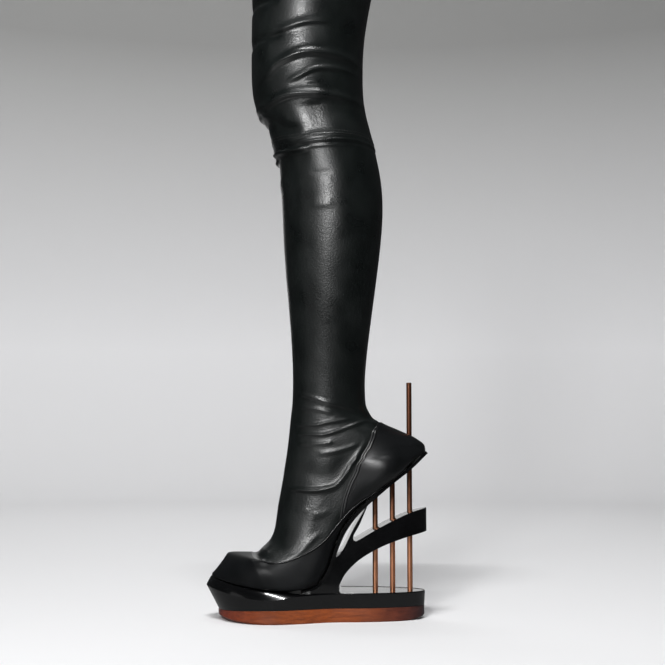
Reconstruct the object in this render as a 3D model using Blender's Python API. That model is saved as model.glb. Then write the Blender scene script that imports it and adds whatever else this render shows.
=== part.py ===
"""Left thigh-high boot: a stretch leather leg in a court-shoe shell, standing on a carved and lacquered
platform with a forked neck, a wooden sole plate and three upright copper rods.

The toe points to -X, the outer side of the foot to -Y and the leg to +Z. The origin lies on the floor, on the
flat tread of the sole plate. Sizes are in millimetres and become metres where a mesh is made.
"""

import math
from collections import namedtuple

import bmesh
import bpy
import numpy as np

MM = 0.001
MERGE_DISTANCE = 1e-6
GAP = 0.3
SHARP_ANGLE = math.radians(35.0)
ROW_STEP = 0.02

# Driving sizes of the sole unit
OUTSOLE_THICKNESS = 13.0
OUTSOLE_FLAT_FROM = -64.0
OUTSOLE_FLAT_TO = 66.0
OUTSOLE_TOE_DROP = 3.0
OUTSOLE_BEVEL = 1.6
TOE_SPRING = 3.6
HEEL_SPRING = 3.0
SLAB_TOP = 27.0
EDGE_CHAMFER = 0.8
BALL_X = -58.0
WAIST_X = 12.0
TOE_BEND = 6.0
TOE_BEND_POWER = 1.5
TOE_SPRING_POWER = 1.3
HEEL_SPRING_POWER = 1.6
TOE_DROP_POWER = 1.5
OUTLINE_STATIONS = 30

# Driving sizes of the rods
ROD_DIAMETER = 5.2
ROD_FRONT_X = 42.0
ROD_SPACING = 17.0
ROD_TOP = 230.0
ROD_SOCKET_DEPTH = 8.0
ROD_SIDES = 20

# Driving sizes of the upper and what is laid on it
WALL = 1.6
SHELL_THICKNESS = 1.4
COUNTER_THICKNESS = 0.9
INSOLE_THICKNESS = 2.0
SHANK_HEEL_THICKNESS = 2.6
SHANK_WAIST_THICKNESS = 4.0
SHANK_TOE_THICKNESS = 1.8
SHANK_FULL_SHARE = 0.6
AROUND = 28
OPENING_COLUMNS = 2

# One plan outline of the sole unit: its two ends, and its half widths at the ball and at the waist
Outline = namedtuple("Outline", "toe_x heel_x ball_outer ball_inner waist_outer waist_inner toe_power")
TREAD_OUTLINE = Outline(-108.0, 88.6, 43.5, 38.5, 27.2, 25.2, 2.3)
SOLE_PLATE_OUTLINE = Outline(-111.5, 89.8, 44.6, 39.6, 28.0, 26.0, 2.2)
ARRIS_OUTLINE = Outline(-124.0, 90.6, 46.0, 41.0, 28.5, 26.5, 1.75)
FEATHER_OUTLINE = Outline(-118.8, 89.8, 40.2, 36.6, 27.7, 25.7, 1.75)
NECK_OUTLINE = Outline(-118.0, 92.6, 39.6, 36.0, 27.3, 25.3, 1.75)
SHANK_OUTLINE = Outline(-118.0, 92.6, 38.6, 35.0, 27.6, 25.6, 1.75)

# Heights of the platform's sharp edge and of the footbed's edge along the boot
Height = namedtuple("Height", "x z")
ARRIS_HEIGHTS = [
    Height(-124.0, 32.0),
    Height(-104.0, 28.2),
    Height(-90.0, 25.4),
    Height(-73.0, 23.3),
    Height(-58.0, 22.8),
    Height(-42.0, 24.8),
    Height(-24.0, SLAB_TOP - EDGE_CHAMFER),
    Height(91.0, SLAB_TOP - EDGE_CHAMFER),
]
FOOTBED_HEIGHTS = [
    Height(-118.8, 41.0),
    Height(-110.0, 38.4),
    Height(-99.0, 35.8),
    Height(-86.0, 33.6),
    Height(-72.0, 31.6),
    Height(-58.0, 30.2),
    Height(-44.0, 29.0),
    Height(-30.0, 27.6),
    Height(-16.0, SLAB_TOP),
    Height(91.0, SLAB_TOP),
]

# Sections of the leg and foot. Each is a closed loop in the plane through a front and a back point, rounded
# like a superellipse. widest_at, topline_at and counter_at are shares of the way from front to back.
Section = namedtuple(
    "Section",
    "front_x front_z back_x back_z half_width centre_y "
    "widest_at front_power back_power topline_at counter_at",
)
NONE = 1.0
SECTIONS = [
    # Thigh and knee
    Section(-85.0, 745.0, 55.0, 745.0, 66.0, 0.0, 0.50, 2.1, 2.1, NONE, NONE),
    Section(-83.0, 690.0, 49.5, 690.0, 62.5, 0.0, 0.50, 2.1, 2.1, NONE, NONE),
    Section(-82.0, 640.0, 43.5, 640.0, 59.0, 0.0, 0.50, 2.1, 2.1, NONE, NONE),
    Section(-82.4, 600.0, 35.0, 600.0, 56.0, 0.0, 0.50, 2.1, 2.1, NONE, NONE),
    Section(-82.6, 562.0, 30.6, 562.0, 54.0, 0.0, 0.50, 2.1, 2.1, NONE, NONE),
    Section(-82.2, 528.0, 30.6, 528.0, 52.5, 0.0, 0.50, 2.1, 2.1, NONE, NONE),
    Section(-77.8, 506.0, 32.4, 506.0, 51.5, 0.0, 0.50, 2.1, 2.1, NONE, NONE),
    Section(-66.5, 488.0, 37.0, 488.0, 50.0, 0.0, 0.50, 2.1, 2.1, NONE, NONE),
    Section(-60.0, 470.0, 41.0, 470.0, 49.0, 0.0, 0.50, 2.1, 2.1, NONE, NONE),
    # Calf and ankle
    Section(-53.0, 442.0, 48.0, 442.0, 49.5, 0.0, 0.50, 2.0, 2.1, NONE, NONE),
    Section(-50.5, 405.0, 51.8, 405.0, 50.0, 0.0, 0.52, 2.0, 2.1, NONE, NONE),
    Section(-48.5, 355.0, 47.0, 355.0, 46.5, 0.0, 0.52, 2.0, 2.1, NONE, NONE),
    Section(-43.6, 305.0, 40.3, 305.0, 41.0, 0.0, 0.51, 2.0, 2.1, NONE, NONE),
    Section(-40.2, 262.0, 34.6, 262.0, 35.5, 0.0, 0.50, 2.0, 2.1, NONE, NONE),
    Section(-39.2, 232.0, 32.0, 232.0, 32.0, 0.0, 0.50, 2.0, 2.0, NONE, NONE),
    Section(-39.8, 210.0, 32.6, 211.0, 31.0, 0.0, 0.50, 2.0, 2.0, NONE, NONE),
    # Heel
    Section(-41.0, 199.0, 37.0, 199.5, 30.6, 0.0, 0.48, 2.0, 2.0, NONE, NONE),
    Section(-41.9, 190.0, 47.5, 190.0, 30.8, 0.0, 0.44, 2.0, 2.0, NONE, 0.95),
    Section(-42.8, 181.0, 65.5, 181.8, 31.2, 0.0, 0.40, 2.0, 2.0, NONE, 0.75),
    Section(-43.8, 171.5, 81.0, 174.6, 31.6, 0.0, 0.36, 2.0, 2.0, NONE, 0.64),
    Section(-45.0, 161.5, 89.8, 167.4, 31.8, 0.0, 0.34, 2.0, 2.0, NONE, 0.57),
    Section(-46.6, 151.0, 90.6, 162.2, 32.0, 0.0, 0.34, 2.0, 2.2, 0.985, 0.54),
    Section(-47.6, 144.5, 84.0, 155.4, 32.0, 0.0, 0.36, 2.0, 3.0, 0.975, 0.54),
    Section(-48.6, 137.5, 73.5, 146.4, 32.0, 0.0, 0.39, 2.0, 4.0, 0.97, 0.57),
    # Arch, from the heel seat down to the ball
    Section(-50.2, 128.0, 58.0, 134.8, 32.0, 0.0, 0.44, 2.0, 5.0, 0.965, 0.61),
    Section(-52.0, 118.0, 41.0, 121.2, 32.2, 0.0, 0.49, 2.0, 5.0, 0.955, 0.68),
    Section(-53.6, 109.0, 28.4, 110.4, 32.6, 0.0, 0.53, 2.0, 5.0, 0.945, 0.76),
    Section(-55.0, 98.5, 15.8, 96.6, 33.2, 0.0, 0.56, 2.0, 5.0, 0.93, 0.88),
    Section(-56.8, 87.0, 7.0, 83.0, 34.0, -0.4, 0.58, 2.0, 5.0, 0.88, NONE),
    Section(-60.2, 78.0, 1.6, 69.4, 35.2, -0.8, 0.60, 2.0, 5.0, 0.74, NONE),
    Section(-64.6, 72.4, -3.0, 55.0, 36.6, -1.2, 0.62, 2.0, 5.0, 0.54, NONE),
    Section(-68.4, 69.0, -8.6, 43.6, 38.0, -1.5, 0.64, 2.0, 5.0, 0.42, NONE),
    Section(-71.4, 66.8, -17.0, 34.4, 39.2, -1.7, 0.68, 2.0, 5.5, 0.31, NONE),
    Section(-73.8, 65.4, -30.0, 30.6, 40.2, -1.8, 0.72, 2.1, 6.0, 0.22, NONE),
    Section(-76.0, 64.6, -45.0, 29.6, 40.8, -1.8, 0.76, 2.2, 6.0, 0.12, NONE),
    # Toe box
    Section(-79.0, 64.2, -60.0, 30.7, 40.6, -1.4, 0.80, 2.2, 6.0, 0.0, NONE),
    Section(-84.0, 64.0, -74.0, 32.2, 38.4, -0.4, 0.82, 2.0, 6.0, 0.0, NONE),
    Section(-90.0, 63.9, -86.0, 34.0, 34.6, 1.0, 0.84, 1.8, 6.0, 0.0, NONE),
    Section(-97.0, 63.6, -96.0, 35.6, 29.6, 2.4, 0.86, 1.6, 6.0, 0.0, NONE),
    Section(-102.4, 62.6, -104.0, 37.4, 24.2, 3.5, 0.86, 1.5, 6.0, 0.0, NONE),
    Section(-107.6, 55.8, -110.0, 38.8, 18.6, 4.3, 0.86, 1.5, 5.0, 0.0, NONE),
    Section(-112.6, 49.2, -114.6, 40.1, 12.6, 5.0, 0.86, 1.5, 4.0, 0.0, NONE),
    Section(-116.6, 44.4, -117.4, 41.0, 6.6, 5.6, 0.86, 1.6, 3.0, 0.0, NONE),
    Section(-118.4, 42.6, -118.6, 41.4, 2.2, 5.9, 0.86, 2.0, 2.0, 0.0, NONE),
]
HEEL_TOP_ROW = 17
HEEL_TIP_ROW = 21
OPENING_FIRST_ROW = 23
OPENING_LAST_ROW = 40
SHANK_LAST_ROW = 33
COUNTER_LAST_ROW = 27
SHELL_FIRST_ROW = 24
THROAT_ROW = 35
LAST_HOLLOW_ROW = 41
FEATHER_ANGLE = math.radians(150.0)

# Side view of the neck: the arm's underside and top, the tine's free edge, and its edge across the open slot
# that it leaves under the shank
ARM_UNDERSIDE = [(6.0, 33.5), (11.0, 43.6), (23.5, 57.0), (44.0, 69.4), (68.0, 78.4), (94.0, 85.0)]
ARM_TOP = [(94.0, 107.8), (79.0, 104.0), (61.5, 97.0), (40.5, 86.4), (27.0, 78.6)]
FORK_CROTCH = [(22.8, 76.4), (20.2, 77.6), (19.9, 80.6)]
TINE_EDGE = [(26.4, 93.0), (33.4, 109.3)]
SLOT_EDGE = [
    (31.4, 107.4),
    (29.4, 104.0),
    (26.8, 99.6),
    (23.0, 93.3),
    (18.9, 86.0),
    (15.0, 78.0),
    (11.8, 71.6),
    (8.9, 66.7),
    (6.2, 63.4),
    (3.4, 61.4),
]
ARM_CUT_TOP = 108.0
NECK_FOOT_FILLET = 4.5
NECK_FILLET_TURNS = [math.radians(degrees) for degrees in (90, 60, 30)]
NECK_FOOT_FRONT = -22.0
NECK_FOOT_BACK = 6.0
NECK_ROOT_Z = 22.0
NECK_SINK = 0.2
NECK_REACH = 50.0
NECK_PLAN_HEIGHT = 140.0
NECK_LAST_ROW = 32.4
NECK_STEPS = 30
ARM_UNDERSIDE_STEPS = 20
ARM_TOP_STEPS = 12
TINE_STEPS = 12
SLOT_STEPS = 24

# Finer choices for the thin plates and the panels laid on the upper
PLATE_COLUMNS = 4
SHANK_STEPS = 22
SHANK_UNDERSIDE_STEPS = 80
SHANK_TIP_REACHES = (10.8, 9.6, 7.0, 3.5)
SHANK_TIP_HALF_WIDTH = 2.5
INSOLE_FIRST_ROW = 22.4
INSOLE_LAST_ROW = 39.0
INSOLE_STEPS = 24
INSOLE_RISE = 1.6
INSOLE_CLEARANCE = 2.8
OVERLAY_GAP = 0.5
TOE_LIFT_FROM_ROW = 37
TOE_FORWARD_LIFT = 0.8
TOPLINE_CLEARANCE = 0.03
EXTRA_RINGS = (5.5, 6.5, 7.5, 17.2, 17.4, 17.7, 18.5, 19.5, 20.5, 21.2, 21.4, 21.6, 21.8, 22.5, 34.35, 34.7)

Finish = namedtuple("Finish", "colour roughness metallic")
FINISHES = {
    "sole_wood": Finish((0.20, 0.055, 0.018), 0.38, 0.0),
    "black_lacquer": Finish((0.006, 0.006, 0.007), 0.12, 0.0),
    "sole_lacquer": Finish((0.007, 0.007, 0.008), 0.15, 0.0),
    "stretch_leather": Finish((0.012, 0.013, 0.013), 0.42, 0.0),
    "insole_leather": Finish((0.035, 0.030, 0.028), 0.60, 0.0),
    "shell_leather": Finish((0.010, 0.010, 0.011), 0.35, 0.0),
    "counter_leather": Finish((0.011, 0.012, 0.012), 0.36, 0.0),
    "copper_rod_front": Finish((0.45, 0.17, 0.075), 0.30, 1.0),
    "copper_rod_middle": Finish((0.45, 0.17, 0.075), 0.30, 1.0),
    "copper_rod_rear": Finish((0.45, 0.17, 0.075), 0.30, 1.0),
}


def smooth_value(values, position):
    """A value read from evenly spaced rows without overshoot, at a fractional row number."""
    last = len(values) - 1
    low = min(max(int(math.floor(position)), 0), last - 1)
    share = position - low

    def slope(row):
        if row <= 0 or row >= last:
            near = min(max(row, 0), last - 1)
            return values[near + 1] - values[near]
        before, after = values[row] - values[row - 1], values[row + 1] - values[row]
        return 2 * before * after / (before + after) if before * after > 0 else 0.0

    squared, cubed = share**2, share**3
    return (
        (2 * cubed - 3 * squared + 1) * values[low]
        + (cubed - 2 * squared + share) * slope(low)
        + (3 * squared - 2 * cubed) * values[low + 1]
        + (cubed - squared) * slope(low + 1)
    )


def height_at(heights, x):
    """Height along the boot, from a table of heights."""
    return float(np.interp(x, [row.x for row in heights], [row.z for row in heights]))


def section_at(position):
    """The section at a fractional row number."""
    return Section(*(smooth_value(column, position) for column in zip(*SECTIONS)))


def upper_point(position, angle, inset=0.0, back_inset=None):
    """A point of the upper, or of a surface set in from it.

    The angle runs from 0 at the front to pi at the back, and is below 0 on the outer side of the foot.
    """
    row = section_at(position)
    back_inset = inset if back_inset is None else back_inset
    run_x, run_z = row.back_x - row.front_x, row.back_z - row.front_z
    length = math.hypot(run_x, run_z)
    toward_back = math.cos(angle)
    if toward_back > 0:
        power, reach = row.front_power, -(row.widest_at * length - inset)
    else:
        power, reach = row.back_power, (1 - row.widest_at) * length - back_inset
    along = row.widest_at * length + reach * abs(toward_back) ** (2 / power)
    across = (row.half_width - inset) * abs(math.sin(angle)) ** (2 / power)
    share = along / length
    return (
        row.front_x + share * run_x,
        row.centre_y + math.copysign(across, angle),
        row.front_z + share * run_z,
    )


def angle_at_share(position, share):
    """The angle at which a section has gone this share of the way from its front to its back."""
    row = section_at(position)
    if share < row.widest_at:
        return math.acos(((row.widest_at - share) / row.widest_at) ** (row.front_power / 2))
    past = min((share - row.widest_at) / (1 - row.widest_at), 1.0)
    return math.acos(-(past ** (row.back_power / 2)))


def sole_line(position, below=0.0):
    """A point on the middle line under the foot, or this far below it, square to the line."""
    here, ahead = section_at(position), section_at(min(position + ROW_STEP, len(SECTIONS) - 1))
    behind = section_at(position - ROW_STEP)
    run_x, run_z = ahead.back_x - behind.back_x, ahead.back_z - behind.back_z
    length = math.hypot(run_x, run_z)
    return here.back_x - below * run_z / length, here.back_z + below * run_x / length


def shank_thickness(position):
    """Thickness of the shank: thin at the heel tip, full at the waist, thin again at the ball."""
    waist_row = HEEL_TIP_ROW + SHANK_FULL_SHARE * (SHANK_LAST_ROW - HEEL_TIP_ROW)
    rows = (HEEL_TIP_ROW, waist_row, SHANK_LAST_ROW)
    return float(
        np.interp(position, rows, (SHANK_HEEL_THICKNESS, SHANK_WAIST_THICKNESS, SHANK_TOE_THICKNESS))
    )


def half_width_at(outline, x, outer):
    """Half width of a plan outline: almond toe, waisted middle and long elliptical heel."""
    ball = outline.ball_outer if outer else outline.ball_inner
    waist = outline.waist_outer if outer else outline.waist_inner
    if x <= BALL_X:
        share = min((BALL_X - x) / (BALL_X - outline.toe_x), 1.0)
        return ball * (1 - share**outline.toe_power) ** (1 / outline.toe_power)
    if x <= WAIST_X:
        return waist + (ball - waist) * (1 + math.cos(math.pi * (x - BALL_X) / (WAIST_X - BALL_X))) / 2
    share = min((x - WAIST_X) / (outline.heel_x - WAIST_X), 1.0)
    return waist * math.sqrt(1 - share**2)


def centre_y_at(x):
    """The toe bends to the inner side of the foot."""
    share = max(BALL_X - x, 0.0) / (BALL_X - ARRIS_OUTLINE.toe_x)
    return TOE_BEND * share**TOE_BEND_POWER


def outline_loop(outline, height):
    """One closed loop round the sole unit: toe tip, outer side, heel end, inner side."""
    stations = [
        outline.toe_x + (outline.heel_x - outline.toe_x) * (1 - math.cos(math.pi * k / OUTLINE_STATIONS)) / 2
        for k in range(OUTLINE_STATIONS + 1)
    ]
    outer = [(x, centre_y_at(x) - half_width_at(outline, x, True), height(x)) for x in stations]
    inner = [(x, centre_y_at(x) + half_width_at(outline, x, False), height(x)) for x in stations]
    return outer + inner[-2:0:-1]


def smooth_curve(points, steps):
    """Points along a smooth curve through a few given points."""
    last = len(points) - 1
    columns = list(zip(*points))
    return [
        tuple(smooth_value(column, last * k / steps) for column in columns) for k in range(steps + 1)
    ]


def mesh_object(name, points, faces, finish, collection):
    """A mesh object from points in millimetres, with its faces turned outwards."""
    mesh = bpy.data.meshes.new(name)
    mesh.from_pydata([(x * MM, y * MM, z * MM) for x, y, z in points], [], faces)
    work = bmesh.new()
    work.from_mesh(mesh)
    bmesh.ops.remove_doubles(work, verts=work.verts, dist=MERGE_DISTANCE)
    loose_edges = [edge for edge in work.edges if not edge.link_faces]
    bmesh.ops.delete(work, geom=loose_edges, context="EDGES")
    loose_points = [vertex for vertex in work.verts if not vertex.link_faces]
    bmesh.ops.delete(work, geom=loose_points, context="VERTS")
    bmesh.ops.recalc_face_normals(work, faces=work.faces)
    work.to_mesh(mesh)
    work.free()
    mesh.shade_smooth()
    mesh.set_sharp_from_angle(angle=SHARP_ANGLE)
    made = bpy.data.objects.new(name, mesh)
    if finish:
        mesh.materials.append(bpy.data.materials[finish])
    collection.objects.link(made)
    return made


def loft(loops):
    """Points and faces of a solid through closed loops of equal length, with strips across its two ends."""
    count = len(loops[0])
    points = [point for loop in loops for point in loop]
    faces = []
    for level in range(len(loops) - 1):
        for k in range(count):
            after = (k + 1) % count
            low, high = level * count, (level + 1) * count
            faces.append((low + k, low + after, high + after, high + k))
    for start in (0, (len(loops) - 1) * count):
        for k in range(count // 2):
            strip = (start + k, start + k + 1, start + (count - 1 - k), start + (count - k) % count)
            faces.append(tuple(dict.fromkeys(strip)))
    return points, [face for face in faces if len(face) > 2]


def shell_between(outer, inner, kept):
    """Points and faces of a wall between two grids of points, over the cells that are kept."""
    rows, columns = len(outer), len(outer[0])
    points = [point for row in outer for point in row] + [point for row in inner for point in row]
    behind = rows * columns

    def corners(row, column):
        return [
            row * columns + column,
            row * columns + (column + 1) % columns,
            (row + 1) * columns + (column + 1) % columns,
            (row + 1) * columns + column,
        ]

    faces, edges = [], {}
    for row, column in kept:
        cell = corners(row, column)
        faces.append(tuple(cell))
        faces.append(tuple(behind + corner for corner in reversed(cell)))
        for a, b in zip(cell, cell[1:] + cell[:1]):
            edges.setdefault(frozenset((a, b)), []).append((a, b))
    for sides in edges.values():
        if len(sides) == 1:
            a, b = sides[0]
            faces.append((b, a, behind + a, behind + b))
    return points, faces


def add_finishes():
    """One material for each finish."""
    for name, finish in FINISHES.items():
        material = bpy.data.materials.new(name)
        material.use_nodes = True
        shader = material.node_tree.nodes["Principled BSDF"]
        shader.inputs["Base Color"].default_value = (*finish.colour, 1.0)
        shader.inputs["Roughness"].default_value = finish.roughness
        shader.inputs["Metallic"].default_value = finish.metallic
        material.diffuse_color = (*finish.colour, 1.0)


def add_boolean(target, operation, tool):
    """Cuts, joins or trims the target with a tool, which itself is left out of the build."""
    modifier = target.modifiers.new(f"{operation.lower()} {tool.name}", "BOOLEAN")
    modifier.operation = operation
    modifier.solver = "EXACT"
    modifier.object = tool
    tool.hide_render = True
    tool.display_type = "WIRE"


def keep_as_tool(tool, name, tools):
    """Names a cutting form and moves it to the collection of tools."""
    tool.name = name
    for owner in list(tool.users_collection):
        owner.objects.unlink(tool)
    tools.objects.link(tool)
    tool.hide_render = True
    tool.display_type = "WIRE"
    return tool


def rod_cutter(name, x, bottom, top, tools):
    """A cylinder that leaves running room round a rod."""
    bpy.ops.mesh.primitive_cylinder_add(
        vertices=ROD_SIDES,
        radius=(ROD_DIAMETER / 2 + GAP) * MM,
        depth=(top - bottom) * MM,
        location=(x * MM, 0, (top + bottom) / 2 * MM),
    )
    return keep_as_tool(bpy.context.object, name, tools)


def tread_height(x):
    """Height of the tread: flat, with a toe spring and an eased heel."""
    ahead = max(OUTSOLE_FLAT_FROM - x, 0.0) / (OUTSOLE_FLAT_FROM - SOLE_PLATE_OUTLINE.toe_x)
    behind = max(x - OUTSOLE_FLAT_TO, 0.0) / (SOLE_PLATE_OUTLINE.heel_x - OUTSOLE_FLAT_TO)
    return TOE_SPRING * ahead**TOE_SPRING_POWER + HEEL_SPRING * behind**HEEL_SPRING_POWER


def plate_top_height(x):
    """Height of the sole plate's top, which dips a little towards the toe."""
    ahead = max(BALL_X - x, 0.0) / (BALL_X - SOLE_PLATE_OUTLINE.toe_x)
    return OUTSOLE_THICKNESS - OUTSOLE_TOE_DROP * ahead**TOE_DROP_POWER


def build_outsole(parts):
    """The wooden sole plate, with a small bevel round the tread."""
    loops = [
        outline_loop(TREAD_OUTLINE, tread_height),
        outline_loop(SOLE_PLATE_OUTLINE, lambda x: tread_height(x) + OUTSOLE_BEVEL),
        outline_loop(SOLE_PLATE_OUTLINE, plate_top_height),
    ]
    points, faces = loft(loops)
    return mesh_object("outsole", points, faces, "sole_wood", parts)


def neck_profile():
    """Side outline of the neck with its two branches: the arm, and the tine that carries the shank."""
    corner_x, corner_z = NECK_FOOT_BACK, SLAB_TOP - NECK_SINK
    fillet = [
        (
            corner_x + NECK_FOOT_FILLET * (1 - math.cos(turn)),
            corner_z + NECK_FOOT_FILLET * (1 - math.sin(turn)),
        )
        for turn in NECK_FILLET_TURNS
    ]
    under_shank = []
    for k in range(NECK_STEPS + 1):
        position = HEEL_TIP_ROW + 1 + k * (NECK_LAST_ROW - HEEL_TIP_ROW - 1) / NECK_STEPS
        x, z = sole_line(position, 2 * GAP + shank_thickness(position))
        if z < SLOT_EDGE[-1][1]:
            under_shank.append((x, z))
    outline = [(NECK_FOOT_FRONT, NECK_ROOT_Z), (corner_x + NECK_FOOT_FILLET, NECK_ROOT_Z)]
    outline += fillet
    outline += smooth_curve(ARM_UNDERSIDE, ARM_UNDERSIDE_STEPS)
    outline += smooth_curve(ARM_TOP, ARM_TOP_STEPS)
    outline += smooth_curve(FORK_CROTCH + TINE_EDGE, TINE_STEPS)
    outline += smooth_curve(SLOT_EDGE, SLOT_STEPS)
    outline += under_shank
    return outline


def prism(name, outline, to_point, low, high, collection):
    """A straight prism over a flat outline."""
    count = len(outline)
    points = [to_point(a, b, low) for a, b in outline] + [to_point(a, b, high) for a, b in outline]
    faces = [tuple(range(count)), tuple(reversed(range(count, 2 * count)))]
    faces += [(k, (k + 1) % count, count + (k + 1) % count, count + k) for k in range(count)]
    return mesh_object(name, points, faces, None, collection)


def build_platform(parts, tools, sockets):
    """The carved block: a slab with a sharp edge and prow, joined to the forked neck."""
    loops = [
        outline_loop(SOLE_PLATE_OUTLINE, lambda x: plate_top_height(x) + GAP),
        outline_loop(ARRIS_OUTLINE, lambda x: height_at(ARRIS_HEIGHTS, x)),
        outline_loop(FEATHER_OUTLINE, lambda x: height_at(FOOTBED_HEIGHTS, x)),
    ]
    points, faces = loft(loops)
    platform = mesh_object("platform", points, faces, "black_lacquer", parts)

    neck = prism("neck", neck_profile(), lambda x, z, y: (x, y, z), -NECK_REACH, NECK_REACH, tools)
    plan = [(x, y) for x, y, z in outline_loop(NECK_OUTLINE, lambda x: 0.0)]
    plan_form = prism("neck_plan", plan, lambda x, y, z: (x, y, z), 0.0, NECK_PLAN_HEIGHT, tools)
    add_boolean(neck, "INTERSECT", plan_form)
    add_boolean(platform, "UNION", neck)
    for socket in sockets:
        add_boolean(platform, "DIFFERENCE", socket)
    return platform


def plate(name, stations, finish, parts):
    """A thin curved plate. A station gives its top and bottom points in side view and its edges' Y."""
    shares = [k / PLATE_COLUMNS for k in range(PLATE_COLUMNS + 1)]
    top, bottom = [], []
    for (top_x, top_z), (low_x, low_z), outer_y, inner_y in stations:
        row_y = [outer_y + share * (inner_y - outer_y) for share in shares]
        top.append([(top_x, y, top_z) for y in row_y])
        bottom.append([(low_x, y, low_z) for y in row_y])
    kept = [(row, column) for row in range(len(stations) - 1) for column in range(PLATE_COLUMNS)]
    points, faces = shell_between(top, bottom, kept)
    return mesh_object(name, points, faces, finish, parts)


def build_shank(parts, rod_room):
    """The thin sole under the arch. From the heel seat to its tip it runs straight on."""
    seat_row = HEEL_TIP_ROW + 1
    seat_x, seat_z = sole_line(seat_row)
    near_x, near_z = sole_line(seat_row + 1)
    run = math.hypot(seat_x - near_x, seat_z - near_z)
    rise = ((seat_x - near_x) / run, (seat_z - near_z) / run)
    stations = []
    for reach in SHANK_TIP_REACHES:
        x, z = seat_x + reach * rise[0], seat_z + reach * rise[1]
        low = GAP + SHANK_HEEL_THICKNESS
        half_outer = half_width_at(SHANK_OUTLINE, x, True)
        half_inner = half_width_at(SHANK_OUTLINE, x, False)
        stations.append((
            (x + GAP * rise[1], z - GAP * rise[0]),
            (x + low * rise[1], z - low * rise[0]),
            -max(half_outer, SHANK_TIP_HALF_WIDTH),
            max(half_inner, SHANK_TIP_HALF_WIDTH),
        ))
    for k in range(SHANK_STEPS + 1):
        position = seat_row + k * (SHANK_LAST_ROW - seat_row) / SHANK_STEPS
        x = sole_line(position)[0]
        stations.append((
            sole_line(position, GAP),
            sole_line(position, GAP + shank_thickness(position)),
            -half_width_at(SHANK_OUTLINE, x, True),
            half_width_at(SHANK_OUTLINE, x, False),
        ))
    shank = plate("shank", stations, "sole_lacquer", parts)
    add_boolean(shank, "DIFFERENCE", rod_room)
    return shank


def ring_positions():
    """Row numbers at which the upper and the panels on it have their rings."""
    return sorted(set(range(len(SECTIONS))) | set(EXTRA_RINGS))


def build_upper(parts, rod_room):
    """The hollow leather upper, open at the collar and under the foot. Its toe tip is solid."""
    turns = [k / AROUND for k in range(AROUND)]
    angles = [2 * math.pi * (1 - turn if turn > 0.5 else -turn) for turn in turns]
    positions = ring_positions()
    last_hollow = section_at(LAST_HOLLOW_ROW)
    hollow_end = (
        (last_hollow.front_x + last_hollow.back_x) / 2,
        last_hollow.centre_y,
        (last_hollow.front_z + last_hollow.back_z) / 2,
    )
    tip = upper_point(len(SECTIONS) - 1, 0.0)
    outer, inner, kept = [], [], []
    for row, position in enumerate(positions):
        at_tip = position == len(SECTIONS) - 1
        past_hollow = position > LAST_HOLLOW_ROW
        outer.append([tip if at_tip else upper_point(position, angle) for angle in angles])
        inner.append([hollow_end if past_hollow else upper_point(position, angle, WALL) for angle in angles])
        if at_tip:
            continue
        open_below = OPENING_FIRST_ROW <= position < OPENING_LAST_ROW
        for column in range(AROUND):
            from_back = abs(column + 0.5 - AROUND / 2)
            if not (open_below and from_back < OPENING_COLUMNS):
                kept.append((row, column))
    points, faces = shell_between(outer, inner, kept)
    upper = mesh_object("upper", points, faces, "stretch_leather", parts)
    add_boolean(upper, "DIFFERENCE", rod_room)
    return upper


def overlay(name, rows, free_angle, meeting_angle, joined, thickness, finish, parts):
    """A panel laid over both sides of the upper, on the upper's own columns.

    On each side it runs from a free edge to a meeting edge. In joined rows the two meeting edges are one.
    Columns past an edge fall onto it, and merge.
    """
    last_row = len(SECTIONS) - 1
    columns = AROUND // 2
    grids = []
    for lift in (OVERLAY_GAP + thickness, OVERLAY_GAP):
        grid = []
        for position in rows:
            toe_share = min(max((position - TOE_LIFT_FROM_ROW) / (last_row - TOE_LIFT_FROM_ROW), 0.0), 1.0)
            forward = TOE_FORWARD_LIFT * lift * toe_share
            back_inset = -lift if position <= HEEL_TIP_ROW else 0.0
            free, meeting = free_angle(position), meeting_angle(position)
            low, high = sorted((free, meeting))
            angles = [min(max(math.pi * k / columns, low), high) for k in range(columns + 1)]
            if free > meeting:
                angles.reverse()
            if position == last_row:
                angles = [0.0] * (columns + 1)
            line = []
            for side, angle in [(-1, angle) for angle in angles] + [(1, angle) for angle in reversed(angles)]:
                x, y, z = upper_point(position, side * angle, -lift, back_inset)
                on_middle = joined(position) and angle == meeting or position == last_row
                line.append((x - forward, section_at(position).centre_y if on_middle else y, z))
            grid.append(line)
        grids.append(grid)
    kept = []
    for row in range(len(rows) - 1):
        for column in range(2 * columns + 1):
            if column != columns or joined(rows[row]) and joined(rows[row + 1]):
                kept.append((row, column))
    points, faces = shell_between(grids[0], grids[1], kept)
    return mesh_object(name, points, faces, finish, parts)


def build_vamp_shell(parts):
    """The court-shoe shell: whole over the toe box, and behind the throat a low edge on either side."""
    return overlay(
        "vamp_shell",
        [row for row in ring_positions() if row >= SHELL_FIRST_ROW],
        lambda row: FEATHER_ANGLE,
        lambda row: angle_at_share(row, section_at(row).topline_at) if row < THROAT_ROW else 0.0,
        lambda row: row >= THROAT_ROW,
        SHELL_THICKNESS,
        "shell_leather",
        parts,
    )


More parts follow.
